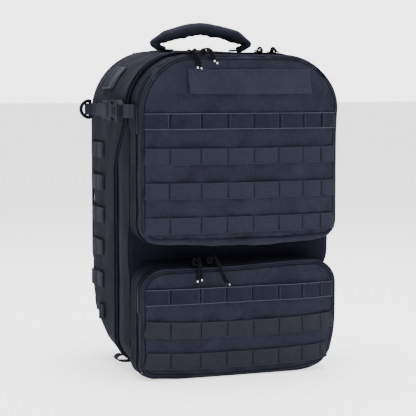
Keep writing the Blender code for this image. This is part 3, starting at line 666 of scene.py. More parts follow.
FABRIC = woven("fabric", srgb(33, 34, 45), contrast=0.34)
# A darker copy of the body fabric, for the body shells, gussets, welts and strap anchors: painted shade, put
# in to darken the sides that face away from the light.
SHADE_DARKENED_FABRIC = woven("gusset_fabric", srgb(20, 21, 31), contrast=0.34)
LINING = woven("lining", srgb(26, 28, 36), period=0.9 * MM, depth=0.06 * MM, rough=(0.6, 0.75))
PIPING = woven("piping", srgb(38, 40, 53), period=0.9 * MM)
BINDING = webbing("binding", srgb(20, 22, 30), rib=1.1 * MM)
TAPE = webbing("webbing", srgb(35, 36, 47), contrast=0.3)
SIDE_TAPE = webbing("side_webbing", srgb(35, 36, 44), contrast=0.3)
ROW_TAPE = pile("row_tape", srgb(27, 28, 39))
# Lighter edge lines for the top rows: a painted highlight where the tape's thick edges catch the light.
ROW_EDGE_HIGHLIGHT = webbing("row_edge_highlight", srgb(58, 61, 76), rib=1.0 * MM)
LOOP_PILE = woven("loop_pile", srgb(37, 38, 50), period=1.6 * MM, depth=0.2 * MM, fuzz=0.4)
ZIP_CLOTH = webbing("zip_cloth", srgb(23, 24, 33), rib=0.9 * MM)
TEETH = moulded("zip_teeth", srgb(12, 13, 17), rough=(0.35, 0.5))
THREAD = braid("thread", srgb(50, 54, 68), period=0.6 * MM)
# Dark thread for the bar tacks, side tacks and face seams: real thread, made darker as painted shade of the
# dimples and seam grooves it lies in.
SHADED_TACK_THREAD = braid("shaded_tack_thread", srgb(13, 14, 22), period=0.6 * MM)
MESH_CLOTH = spacer_mesh("spacer", srgb(27, 29, 38))
PLASTIC = moulded("plastic", srgb(27, 28, 35), rough=(0.55, 0.7), specular=0.05)
SHEET_PLASTIC = moulded("frame_sheet", srgb(28, 28, 32), rough=(0.4, 0.6))
RUBBER = moulded("rubber", srgb(37, 40, 50), rough=(0.5, 0.65), grain=0.1 * MM, specular=0.12)
METAL = moulded("black_metal", srgb(20, 20, 26), rough=(0.6, 0.75), specular=0.05)
CORD = braid("cord", srgb(12, 12, 15))
TIP = moulded("cord_tip", srgb(222, 223, 226), rough=(0.3, 0.5))


# ---------------------------------------------------------------- pieces: the two body shells

def place(piece, body, nodes=()):
    """A finished piece rides on its body and stands for its nodes."""
    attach(piece, body)
    if nodes:
        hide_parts(*nodes)
    return piece


def line_with(piece, thickness, lining):
    """Cloth thickness, with another material on the inner side."""
    piece.data.materials.append(lining)
    modifier = piece.modifiers.new("cloth", "SOLIDIFY")
    modifier.thickness = thickness
    modifier.offset = -1.0
    modifier.material_offset = 1
    return apply_modifiers(piece)


def body_wrinkles(points, out, seed, most):
    """Soft upright folds and small creases."""
    folds = ripple(points, 95 * MM, seed, (1.0, 1.3, 0.45))
    small = ripple(points, 34 * MM, seed + 1, (1.0, 1.0, 0.6))
    push = most * (0.75 * folds + 0.25 * small)
    return points + out * push[..., None]


def make_rear_bag():
    """The rear half: open along the main zip, with its back panel and swept base."""
    template = BODY_TEMPLATE
    rings, outs = [], []
    radius = 9 * MM
    steps = 44
    for share in np.linspace(0, 1, steps):
        start, _ = seam_ring(template, offset=0.8 * MM)
        y = start[:, 1] + (BACK_Y - radius - start[:, 1]) * share
        ring, out = body_ring(template, y)
        crown = 3.5 * MM * np.exp(-((ring[:, 0] / (75 * MM)) ** 4)) - 2.5 * MM
        bulge = math.sin(math.pi * share) ** 0.8 * (
            3.5 * MM * np.abs(out[:, 0]) + crown * np.clip(out[:, 2], 0, 1)
        )
        bulge *= smoothstep(ring[:, 2], 20 * MM, 90 * MM)
        ring = ring + out * (bulge - 1.2 * MM)[:, None]
        rings.append(ring)
        outs.append(out)
    for turn in np.linspace(0, math.pi / 2, 6)[1:]:
        y = BACK_Y - radius + radius * math.sin(turn)
        ring, out = body_ring(template, y, -radius * (1 - math.cos(turn)) - 1.2 * MM)
        rings.append(ring)
        outs.append(out * math.cos(turn) + np.array([0, 1, 0]) * math.sin(turn))
    points = body_wrinkles(np.stack(rings), np.stack(outs), 11, 2.1 * MM)
    rings = list(points)
    centre = (0, BACK_Y, 0.31)
    face_from = len(rings) - 1
    for ring in inward_rings(rings[-1], centre, 30):
        rings.append(ring)
    piece = make("rear_bag", [shell_part(rings, face_from)], SHADE_DARKENED_FABRIC, weld=True)
    face_out(piece, (0, 0.03, 0.25))
    return line_with(piece, CLOTH_T, LINING)


def lid_slack(ring, out):
    """How far the lid's side stands out between the two pockets, more on the right."""
    between = (UPPER_LOW.z + LOWER_HIGH.z) / 2
    near_gap = np.exp(-(((ring[:, 2] - between) / (34 * MM)) ** 4))
    return near_gap * np.abs(out[:, 0]) * np.where(out[:, 0] > 0, 11 * MM, 3 * MM)


def make_lid_bag():
    """The front half: a gusset from the main zip to the lid's front face, which carries the pockets."""
    template = BODY_TEMPLATE
    rings, outs = [], []
    radius = 5 * MM
    steps = 26
    for share in np.linspace(0, 1, steps):
        start, _ = seam_ring(template, offset=-0.8 * MM)
        y = start[:, 1] + (LID_Y + radius - start[:, 1]) * share
        ring, out = body_ring(template, y)
        side = np.abs(out[:, 0])
        bulge = 2.5 * MM * math.sin(math.pi * share) * side + lid_slack(ring, out) * share**1.5
        ring = ring + out * (bulge - 1.0 * MM)[:, None]
        rings.append(ring)
        outs.append(out)
    for turn in np.linspace(0, math.pi / 2, 5)[1:]:
        y = LID_Y + radius - radius * math.sin(turn)
        ring, out = body_ring(template, y, -radius * (1 - math.cos(turn)) - 1.0 * MM)
        ring = ring + out * (lid_slack(ring, out) * math.cos(turn / 2))[:, None]
        rings.append(ring)
        outs.append(out * math.cos(turn) - np.array([0, 1, 0]) * math.sin(turn))
    points = body_wrinkles(np.stack(rings), np.stack(outs), 23, 1.9 * MM)
    rings = list(points)
    face_from = len(rings) - 1
    for ring in inward_rings(rings[-1], (0, LID_Y, 0.24), 34):
        rings.append(ring)
    piece = make("lid_bag", [shell_part(rings, face_from)], SHADE_DARKENED_FABRIC, weld=True)
    face_out(piece, (0, -0.04, 0.25))
    return line_with(piece, CLOTH_T, LINING)


# ---------------------------------------------------------------- pieces: the main zip

def zip_arch(points, out, low):
    """The part of a ring above a height, from its right end over the top to its left end."""
    keep = points[:, 2] >= low
    return points[keep], out[keep]


def teeth_part(path, out, aside, pitch=2.6 * MM):
    """One row of zip teeth beside a zip's middle line."""
    dense = even(np.concatenate([path, out * 1e-6], 1), pitch)
    tangents, sides, ups = frames_along(dense[:, :3], dense[:, 3:] * 1e6)
    return blocks_part(
        dense[:, :3] + sides * aside, tangents, sides, ups, (1.5 * MM, 2.3 * MM, 1.6 * MM), 0.7
    )


def zip_half(name, path, out, aside, lift, width, sign):
    """Tape and teeth on one side of a zip. sign is +1 for the side towards the back."""
    tape = make(
        name,
        [
            sweep_part(
                path + out * lift + (0, sign * (aside + width / 2), 0), out, tape_profile(width, 0.9 * MM)
            )
        ],
        ZIP_CLOTH,
    )
    teeth = make(
        name + "_teeth",
        [teeth_part(path + out * (lift + 0.7 * MM), out, sign * 0.9 * MM)],
        TEETH,
        smooth=False,
    )
    return join([tape, teeth])


def make_main_zip():
    """A coil zip in a shadowed groove between two corded seams, over the top and down both sides."""
    low = 9 * MM
    ring, out = seam_ring(BODY_TEMPLATE)
    path, path_out = zip_arch(ring, out, low)
    rear = zip_half("main_zip_rear", path, path_out, 0.5 * MM, -0.6 * MM, 6 * MM, 1)
    lid = zip_half("main_zip_lid", path, path_out, 0.5 * MM, -0.6 * MM, 6 * MM, -1)
    place(rear, "rear_body", ["main_zip_rear_tape"])
    place(lid, "front_lid", ["main_zip_lid_tape"])
    for sign, body, name in ((1, "rear_body", "rear"), (-1, "front_lid", "lid")):
        cord_ring, cord_out = seam_ring(BODY_TEMPLATE, offset=sign * 6.2 * MM, lift=1.2 * MM)
        cord_path, cord_path_out = zip_arch(cord_ring, cord_out, 4 * MM)
        welt = make(
            "main_welt_" + name, [sweep_part(cord_path, cord_path_out, round_profile(1.8 * MM))], SHADE_DARKENED_FABRIC
        )
        place(welt, body)


def make_body_piping():
    """Corded seams round the back panel and round the lid's front edge."""
    ring, out = body_ring(BODY_TEMPLATE, BACK_Y - 2.6 * MM, -3.2 * MM)
    rear = make("back_edge_piping", [sweep_part(ring, out, round_profile(2.0 * MM), closed=True)], PIPING)
    place(rear, "rear_body")
    ring, out = body_ring(BODY_TEMPLATE, LID_Y + 2.0 * MM, -1.2 * MM)
    ring = ring + out * (lid_slack(ring, out) * 0.9)[:, None]
    front = make("lid_edge_piping", [sweep_part(ring, out, round_profile(1.1 * MM), closed=True)], SHADE_DARKENED_FABRIC)
    place(front, "front_lid")


# ---------------------------------------------------------------- pieces: front pockets

UPPER_SIZES = (POCKET_W, UPPER_LOW.z, UPPER_HIGH.z, *UPPER_R)
LOWER_SIZES = (POCKET_W, LOWER_LOW.z, LOWER_HIGH.z, *LOWER_R)


def upper_shape(points):
    """How the upper pocket's front sits: padded, slack over its bottom edge, fuller at the top right."""
    x, y, z = points[..., 0], points[..., 1], points[..., 2]
    middle, half_h = (UPPER_LOW.z + UPPER_HIGH.z) / 2, (UPPER_HIGH.z - UPPER_LOW.z) / 2
    face = smoothstep(-y, -ZIP_Y, -FACE_Y)
    across, up = np.clip(np.abs(x) / POCKET_W, 0, 1), np.clip(np.abs(z - middle) / half_h, 0, 1)
    crown = 5.5 * MM * (1 - across**3.2) * (1 - up**3)
    roll = 3.0 * MM * np.exp(-(((z - UPPER_LOW.z - 12 * MM) / (13 * MM)) ** 2)) * (1 - across**4)
    moved = points.copy()
    moved[..., 1] -= face * (crown + roll)
    near_base = smoothstep(-z, -UPPER_LOW.z - 30 * MM, -UPPER_LOW.z)
    moved[..., 2] -= near_base * (4.5 * MM * (1 - across**3) + 1.0 * MM)
    corner = np.exp(-(((x - 150 * MM) / (30 * MM)) ** 2) - (((z - 410 * MM) / (34 * MM)) ** 2))
    moved[..., 0] += corner * 3 * MM
    return moved


def lower_shape(points):
    """How the lower pocket sits: full at the bottom, where it sags forward and down."""
    x, y, z = points[..., 0], points[..., 1], points[..., 2]
    height = LOWER_HIGH.z - LOWER_LOW.z
    face = smoothstep(-y, -ZIP_Y + 30 * MM, -FACE_Y)
    across = np.clip(np.abs(x) / POCKET_W, 0, 1)
    up = np.clip((z - LOWER_LOW.z) / height, 0, 1)
    crown = 9.0 * MM * (1 - across**2.6) * (1 - up) ** 0.7 * smoothstep(up, -0.25, 0.25)
    top = 3.0 * MM * (1 - across**3) * np.sin(math.pi * up)
    moved = points.copy()
    moved[..., 1] -= face * (crown + top)
    near_base = smoothstep(-z, -LOWER_LOW.z - 45 * MM, -LOWER_LOW.z)
    moved[..., 2] -= face * near_base * 8.0 * MM * (1 - across**3)
    right = np.exp(-(((x - 157 * MM) / (34 * MM)) ** 2) - ((z / (40 * MM)) ** 2))
    moved[..., 0] -= right * 10 * MM
    moved[..., 2] += right * 7 * MM
    left = np.exp(-(((x + 157 * MM) / (20 * MM)) ** 2) - ((z / (20 * MM)) ** 2))
    moved[..., 0] -= left * 3 * MM
    moved[..., 2] -= left * 3 * MM
    slump = smoothstep(up, 0.6, 1.0) * (0.45 + 0.55 * smoothstep(-x, -110 * MM, 40 * MM))
    moved[..., 2] -= slump * 9 * MM * smoothstep(-y, -LID_Y, -FACE_Y)
    return moved


def pocket_front_rings(template, sizes, radius=7 * MM):
    """Rings from the zip over the rounded front edge to the middle of the face."""
    rings = []
    for y in np.linspace(ZIP_Y - 0.8 * MM, FACE_Y + radius, 4):
        rings.append(flat_ring(template, sizes, y)[0])
    for turn in np.linspace(0, math.pi / 2, 6)[1:]:
        inset = radius * (1 - math.cos(turn))
        rings.append(flat_ring(template, sizes, FACE_Y + radius * (1 - math.sin(turn)), inset)[0])
    face_from = len(rings) - 1
    centre = (0, FACE_Y, (sizes[1] + sizes[2]) / 2)
    rings += inward_rings(rings[-1], centre, 44)
    return rings, face_from


def face_wrinkles(points, seed, sizes):
    """Creases that run in from the seams and slow waves over the face."""
    half_w, low, high = sizes[:3]
    x, z = points[..., 0], points[..., 2]
    inset = np.minimum(half_w - np.abs(x), np.minimum(z - low, high - z))
    edge = np.exp(-np.clip(inset, 0, None) / (26 * MM))
    slow = ripple(points, 80 * MM, seed, (1, 0.2, 1)) * 1.5 * MM
    creases = ripple(points, 19 * MM, seed + 1, (1, 0.2, 1)) * 1.2 * MM * edge
    slow += ripple(points, 30 * MM, seed + 2, (1.2, 0.2, 0.7)) * 0.5 * MM
    moved = points.copy()
    moved[..., 1] -= (slow + creases) * smoothstep(-points[..., 1], -ZIP_Y, -FACE_Y)
    return moved


def make_pocket_front(name, template, sizes, shape, seed, pressure):
    rings, face_from = pocket_front_rings(template, sizes)
    points = face_wrinkles(shape(np.stack(rings)), seed, sizes)
    piece = make(name, [shell_part(list(points), face_from)], FABRIC, weld=True)
    face_out(piece, (0, 0, (sizes[1] + sizes[2]) / 2))
    here = coords(piece)
    inset = np.minimum(
        POCKET_W - np.abs(here[:, 0]), np.minimum(here[:, 2] - sizes[1], sizes[2] - here[:, 2])
    )
    pinned = 1 - smoothstep(inset, 6 * MM, 16 * MM)
    return settle(piece, pinned, pressure, slack=0.012, most=4 * MM)


def make_pocket_gusset(name, template, sizes, shape, seed):
    """The band between the lid and the pocket's zip."""
    rings, outs = [], []
    for y in np.linspace(LID_Y - 0.5 * MM, ZIP_Y + 0.8 * MM, 12):
        ring, out = flat_ring(template, sizes, y)
        rings.append(ring)
        outs.append(out)
    points = shape(np.stack(rings))
    share = np.linspace(0, 1, len(rings))[:, None, None]
    push = ripple(points, 30 * MM, seed, (1, 0.6, 1))[..., None] * 0.9 * MM - 1.8 * MM * np.sin(
        math.pi * share
    )
    points = points + np.stack(outs) * push
    piece = make(name, [shell_part(list(points), len(rings))], SHADE_DARKENED_FABRIC)
    face_out(piece, (0, -0.095, (sizes[1] + sizes[2]) / 2))
    return line_with(piece, CLOTH_T, LINING)


def pocket_line(template, sizes, shape, y, inset, lift):
    """A ring that follows the pocket's settled edge."""
    ring, out = flat_ring(template, sizes, y, inset)
    return shape(ring) + out * lift, out


def make_pocket(prefix, template, sizes, shape, fold, seed):
    """One front pocket: gusset, zip, piped seams, a line of face stitching and the front."""
    mouth = prefix + "_mouth"
    gusset = make_pocket_gusset(prefix + "_gusset", template, sizes, shape, seed + 5)
    place(gusset, "front_lid", [prefix + "_pocket_gusset"])
    front = make_pocket_front(prefix + "_front", template, sizes, shape, seed, pressure=5.0)
    tree = surface(front)
    line_with(front, CLOTH_T, LINING)
    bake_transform(front)
    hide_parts(prefix + "_pocket_panel", prefix + "_pocket_flap")

    ring, out = pocket_line(template, sizes, shape, ZIP_Y, 0, 0)
    path, path_out = zip_arch(ring, out, fold + 2 * MM)
    rear = zip_half(prefix + "_zip_gusset", path, path_out, 0.4 * MM, 0.6 * MM, 5 * MM, 1)
    near = zip_half(prefix + "_zip_front", path, path_out, 0.4 * MM, 0.6 * MM, 5 * MM, -1)
    place(rear, "front_lid", [prefix + "_zip_gusset_tape"])
    place(near, mouth, [prefix + "_zip_flap_tape"])

    welt, welt_out = pocket_line(template, sizes, shape, ZIP_Y + 7 * MM, 0, 0.8 * MM)
    outer = make(
        prefix + "_gusset_piping", [sweep_part(welt, welt_out, round_profile(1.3 * MM), True)], SHADE_DARKENED_FABRIC
    )
    place(outer, "front_lid")
    cord, cord_out = pocket_line(template, sizes, shape, FACE_Y + 3.4 * MM, 1.2 * MM, 0.9 * MM)
    toward = cord_out * 0.7 + np.array([0, -0.7, 0])
    inner = make(
        prefix + "_front_piping", [sweep_part(cord, toward, round_profile(1.6 * MM), True)], FABRIC
    )
    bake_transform(inner)
    seam_path, _ = pocket_line(template, sizes, shape, FACE_Y, 5.6 * MM, 0)
    seam_path = cast(tree, seam_path, (0, 1, 0)) - (0, 0.15 * MM, 0)
    seam = make(
        prefix + "_face_seam", [sweep_part(seam_path, (0, -1, 0), round_profile(0.85 * MM, 8, 0.6), True)],
        SHADED_TACK_THREAD
    )
    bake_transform(seam)
    return tree


def make_upper_roll():
    """The slack fold of cloth under the upper pocket's lowest row."""
    ring, out = flat_ring(POCKET_TEMPLATE, UPPER_SIZES, FACE_Y + 3 * MM, 3 * MM)
    keep = (ring[:, 2] < UPPER_LOW.z + 9 * MM)
    start = int(np.argmax(~keep))
    order = np.roll(np.arange(len(ring)), -start)
    order = order[keep[order]]
    path = upper_shape(ring[order])
    share = np.linspace(0, 1, len(path))
    path[:, 2] -= 2.5 * MM * np.sin(math.pi * np.clip(1.25 - share * 1.25, 0, 1)) ** 1.5
    path[:, 1] -= 1.5 * MM
    fullness = 0.55 + 0.45 * np.sin(math.pi * share) ** 0.5
    wave = 1 + 0.1 * np.sin(share * 23) + 0.06 * np.sin(share * 57 + 1)
    roll = make(
        "upper_roll", [sweep_part(path, out[order], round_profile(6.0 * MM, 14), scale=fullness * wave)],
        FABRIC
    )
    place(roll, "front_lid")


# ---------------------------------------------------------------- pieces: webbing rows

def row_parts(tree, tacks, middle_z, width, seed, puff=1.7 * MM, sag=0.0, bar_w=2.6 * MM):
    """A tape tacked down at intervals, standing off a little between tacks. Returns tape, edges and tacks."""
    rng = np.random.default_rng(seed)
    xs = np.arange(tacks[0], tacks[-1] + 1 * MM, 2.5 * MM)
    length = tacks[-1] - tacks[0]
    drop = sag * np.sin(np.clip((xs - tacks[0]) / length, 0, 1) * math.pi) ** 0.6
    heights = middle_z - drop
    reach = width / 2 - 1 * MM
    at = [
        cast(tree, np.stack([xs, np.full(len(xs), FACE_Y), heights + dz], 1), (0, 1, 0))[:, 1] for dz in (
            -reach, 0, reach
        )
    ]
    depth = np.min(at, axis=0)
    kernel = np.ones(5) / 5
    depth = np.convolve(np.pad(depth, 2, mode="edge"), kernel, mode="valid")
    stand = np.zeros(len(xs))
    for left, right in zip(tacks, tacks[1:]):
        share = np.clip((xs - left) / (right - left), 0, 1)
        stand += puff * rng.uniform(0.7, 1.2) * np.sin(math.pi * share) ** 0.75 * (share > 0) * (share < 1)
    path = np.stack([xs, depth - 0.9 * MM - stand, heights], 1)
    tape = sweep_part(path, (0, -1, 0), tape_profile(width, 1.5 * MM))
    edges = []
    for sign in (-1, 1):
        line = path + (0, -0.75 * MM, sign * (width / 2 - 0.9 * MM))
        edges.append(sweep_part(line, (0, -1, 0), round_profile(0.62 * MM, 6, 0.7)))
    bars = []
    for x in tacks[1:-1]:
        count = 17
        z = np.interp(x, xs, heights) + np.linspace(-0.42, 0.42, count) * width
        y = np.interp(x, xs, path[:, 1]) - 0.8 * MM
        centres = np.stack([np.full(count, x), np.full(count, y), z], 1)
        axes = [
            np.broadcast_to(np.array(axis, float), centres.shape) for axis in (
                (1, 0, 0), (0, 0, 1), (0, -1, 0)
            )
        ]
        bars.append(blocks_part(centres, *axes, (bar_w, 0.95 * MM, 0.6 * MM)))
        if bar_w > 3 * MM:
            for beside in (-1, 1):
                line = centres[[0, -1]] + (beside * (bar_w / 2 + 0.5 * MM), -0.1 * MM, 0)
                edges.append(sweep_part(even(line, 3 * MM), (0, -1, 0), round_profile(0.3 * MM, 6, 0.7)))
    return [tape], edges, bars


def make_rows(
    name, tree, tops, tacks, material, body, nodes, seed, sag=0.0, edge_material=TAPE, bar_w=2.4 * MM
):
    tapes, edges, bars = [], [], []
    for count, (top, row_tacks) in enumerate(zip(tops, tacks)):
        made = row_parts(tree, row_tacks, top - WEB / 2, WEB - 1 * MM, seed + count, sag=sag, bar_w=bar_w)
        tapes += made[0]
        edges += made[1]
        bars += made[2]
    pieces = [make(name, tapes, material), make(name + "_edges", edges, edge_material)]
    pieces.append(make(name + "_tacks", bars, SHADED_TACK_THREAD, smooth=False))
    return place(join(pieces), body, nodes)


def make_front_webbing(upper_tree, lower_tree):
    upper_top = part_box("upper_webbing_row_1")[1].z
    lower_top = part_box("lower_webbing_row_1")[1].z
    uppers = [upper_top - 50.8 * MM * i for i in range(4)]
    lowers = [lower_top - 46 * MM * i for i in range(3)]
    lowest = LOWER_TACKS[:-1] + [LOWER_TACKS[-1] - 13 * MM]
    # The top row of each pocket gets lighter edge lines: painted highlight along the tape's edges.
    make_rows(
        "upper_row_1", upper_tree, uppers[:1], [UPPER_TACKS], ROW_TAPE, "upper_mouth",
        ["upper_webbing_row_1"], 31, edge_material=ROW_EDGE_HIGHLIGHT, bar_w=5 * MM,
    )
    make_rows(
        "upper_rows_2_to_4", upper_tree, uppers[1:], [UPPER_TACKS] * 3, TAPE, "front_lid",
        ["upper_webbing_rows_2_to_4"], 32, sag=1.0 * MM,
    )
    make_rows(
        "lower_row_1", lower_tree, lowers[:1], [LOWER_TACKS], ROW_TAPE, "lower_mouth",
        ["lower_webbing_row_1"], 36, edge_material=ROW_EDGE_HIGHLIGHT, bar_w=4 * MM,
    )
    make_rows(
        "lower_rows_2_to_3", lower_tree, lowers[1:], [LOWER_TACKS, lowest], SIDE_TAPE, "front_lid",
        ["lower_webbing_rows_2_to_3"], 37, sag=5.0 * MM,
    )


def make_id_flap(tree):
    """A loop-faced name panel, sewn along its top edge and free below."""
    low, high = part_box("id_flap")
    xs = np.linspace(low.x, high.x, 74)
    zs = np.linspace(high.z, low.z, 20)
    grid = np.zeros((len(zs), len(xs), 3))
    top_y = cast(
        tree, np.stack([xs, np.full(len(xs), FACE_Y), np.full(len(xs), high.z)], 1), (0, 1, 0)
    )[:, 1]
    for row, z in enumerate(zs):
        share = row / (len(zs) - 1)
        at = cast(tree, np.stack([xs, np.full(len(xs), FACE_Y), np.full(len(xs), z)], 1), (0, 1, 0))[:, 1]
        y = np.minimum(at, top_y) - 0.9 * MM - 5.0 * MM * share**1.5
        droop = 1.0 * MM * share * np.sin(np.linspace(0, math.pi, len(xs)))
        grid[row] = np.stack([xs, y, z - droop], 1)
    wave = ripple(grid, 70 * MM, 51, (1, 0.2, 0.4)) * np.linspace(0, 1, len(zs))[:, None] * 0.7 * MM
    grid[..., 1] -= wave
    flap = make("id_flap_cloth", [grid_part(grid)], LOOP_PILE)
    face_out(flap, (0, 0, 0.4))
    thicken(flap, 1.6 * MM, 0.0)
    thread = grid[1, 2:-2] - (0, 1.2 * MM, 0)
    sewing = make("id_flap_stitching", [stitches(thread, (0, -1, 0), pitch=3.6 * MM)], THREAD, smooth=False)
    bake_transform(flap)
    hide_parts("id_flap")
    place(sewing, "upper_mouth")


# ---------------------------------------------------------------- pieces: sliders and pulls

UPPER_PULL_LEFT = (
    [(-0.6, -3, 0), (-4, -12, -3), (1, -15, -14), (5, -16, -30)],
    [(0.6, -3, 0), (-7, -12, -3), (-3, -15, -15), (-1, -16, -29)],
    (-12, -10, -6),
)
UPPER_PULL_RIGHT = (
    [(-0.6, -3, 0), (4, -12, -1), (9, -15, -9), (14, -16, -19)],
    [(0.6, -3, 0), (7, -12, 0), (13, -15, -10), (18, -16, -22)],
    (-2, -9, -5),
)
LOWER_PULL_LEFT = (
    [(-0.6, -3, 0), (-3, -14, -6), (-3, -17, -24), (-5, -17, -38)],
    [(0.6, -3, 0), (0, -14, -6), (1, -17, -24), (2, -17, -36)],
    (-7, -12, -7),
)
LOWER_PULL_RIGHT = (
    [(-0.6, -3, 0), (3, -13, -4), (12, -16, -26), (19, -16, -46)],
    [(0.6, -3, 0), (5, -13, -4), (14, -16, -26), (25, -16, -45)],
    (-6, -12, -6),
)
MAIN_PULL_LEFT = (
    [(-0.6, -3, 0), (-3, -12, -3), (-9, -20, -4), (-17, -27, -4)],
    [(0.6, -3, 0), (-2, -13, -3), (-5, -23, -4), (-11, -31, -4)],
    (0, -9, -3),
)
MAIN_PULL_RIGHT = (
    [(-0.6, -3, 0), (-2, -12, -3), (-5, -22, -5), (-9, -32, -6)],
    [(0.6, -3, 0), (1, -13, -3), (0, -23, -5), (-2, -34, -6)],
    (0, -9, -3),
)


def rounded_box(name, centre, size, material, edge=0.8 * MM, segments=3):
    edit = bmesh.new()
    bmesh.ops.create_cube(edit, size=1.0)
    bmesh.ops.scale(edit, vec=size, verts=edit.verts)
    bmesh.ops.translate(edit, vec=centre, verts=edit.verts)
    bmesh.ops.bevel(edit, geom=edit.edges, offset=edge, segments=segments, profile=0.6, affect="EDGES")
    return from_bmesh(name, edit, material)


def from_bmesh(name, edit, material):
    """An object from a bmesh, with its cloth UVs laid flat on its main plane."""
    mesh = bpy.data.meshes.new(name)
    layer = edit.loops.layers.uv.get("cloth") or edit.loops.layers.uv.new("cloth")
    for face in edit.faces:
        for loop in face.loops:
            loop[layer].uv = (loop.vert.co.x + loop.vert.co.y, loop.vert.co.z)
    edit.to_mesh(mesh)
    edit.free()
    mesh.shade_smooth()
    mesh.set_sharp_from_angle(angle=math.radians(35))
    mesh.materials.append(material)
    piece = bpy.data.objects.new(name, mesh)
    bpy.context.scene.collection.objects.link(piece)
    return piece


def make_slider(name, at):
    """A coil-zip slider: two plates, a waist between them and a bridge for the pull."""
    plate = rounded_box(
        "plate", at + Vector((0, 0, 1.1 * MM)), (9 * MM, 11 * MM, 2.0 * MM), METAL, 0.9 * MM
    )
    arc = np.linspace(0, math.pi, 9)
    path = np.stack(
        [np.zeros(9), 3.4 * MM * np.cos(arc), 1.6 * MM + 3.2 * MM * np.sin(arc)], 1
    ) + np.array(at)
    bridge = make("bridge", [sweep_part(path, (1, 0, 0), round_profile(0.95 * MM, 8))], METAL)
    piece = join([plate, bridge])
    piece.name = name + "_slider_look"
    return piece


def make_pull(name, pivot, course):
    """A loop of braided cord through the slider's bridge: two legs, their knot, a slack loop and pale tips."""
    legs, loop_at = course[:2], np.array(pivot) + np.array(course[2]) * MM
    cords, tips, knots = [], [], []
    radius = 1.35 * MM
    for leg in legs:
        points = spline(np.array(leg) * MM + np.array(pivot), 6)
        path = even(points, 1.0 * MM)
        tip_from = len(path) - 4
        cords.append(sweep_part(path[: tip_from + 1], (0.3, -0.4, 0.9), round_profile(radius, 10)))
        tips.append(sweep_part(path[tip_from:], (0.3, -0.4, 0.9), round_profile(radius * 0.95, 10)))
    middle = [spline(np.array(leg) * MM + np.array(pivot), 6) for leg in legs]
    knot_at = (middle[0][8] + middle[1][8]) / 2
    turns = np.linspace(0, math.tau, 24, endpoint=False)
    loop = np.stack([4.6 * MM * np.cos(turns), 2.5 * MM * np.cos(turns - 0.5), 4.2 * MM * np.sin(turns)], 1)
    knots.append(sweep_part(loop_at + loop, (0, 1, 0.2), round_profile(1.35 * MM, 8), closed=True))
    knots.append(
        sweep_part(even(np.stack([pivot, loop_at]), 2 * MM), (0.1, 0.2, 1), round_profile(1.35 * MM, 8))
    )
    for tilt in (-1, 1):
        ring = np.stack(
            [
                2.4 * MM * np.cos(turns), 1.9 * MM * np.sin(turns),
                tilt * 0.9 * MM * np.cos(turns) + tilt * 0.6 * MM
            ],
            1
        )
        knots.append(sweep_part(knot_at + ring, (0, 0, 1), round_profile(1.25 * MM, 8), closed=True))
    piece = join([make(name + "_pull_look", cords + knots, CORD), make("tips", tips, TIP)])
    return piece


def make_zip_hardware():
    lift, up = 2.1 * MM, 7.1 * MM
    specs = (
        ("upper_left", -69, ZIP_Y, UPPER_HIGH.z, UPPER_PULL_LEFT),
        ("upper_right", -57, ZIP_Y, UPPER_HIGH.z, UPPER_PULL_RIGHT),
        ("lower_left", -66, ZIP_Y, LOWER_HIGH.z, LOWER_PULL_LEFT),
        ("lower_right", -44, ZIP_Y, LOWER_HIGH.z, LOWER_PULL_RIGHT),
        ("main_left", 52, SEAM_HIGH_Y, TOP_FRONT, MAIN_PULL_LEFT),
        ("main_right", 74, SEAM_HIGH_Y, TOP_FRONT, MAIN_PULL_RIGHT),
    )
    for name, x, y, top, legs in specs:
        at = Vector((x * MM, y, top + lift))
        place(make_slider(name, at), name + "_slider_body", [name + "_slider"])
        pull = make_pull(name, at + Vector((0, 0, up)), legs)
        place(pull, name + "_pull_body", [name + "_pull"])


# ---------------------------------------------------------------- pieces: carry handle

HANDLE_Y = 40 * MM


def mirror_path(half):
    return half + [(-x, y, z) for x, y, z in reversed(half[:-1])]


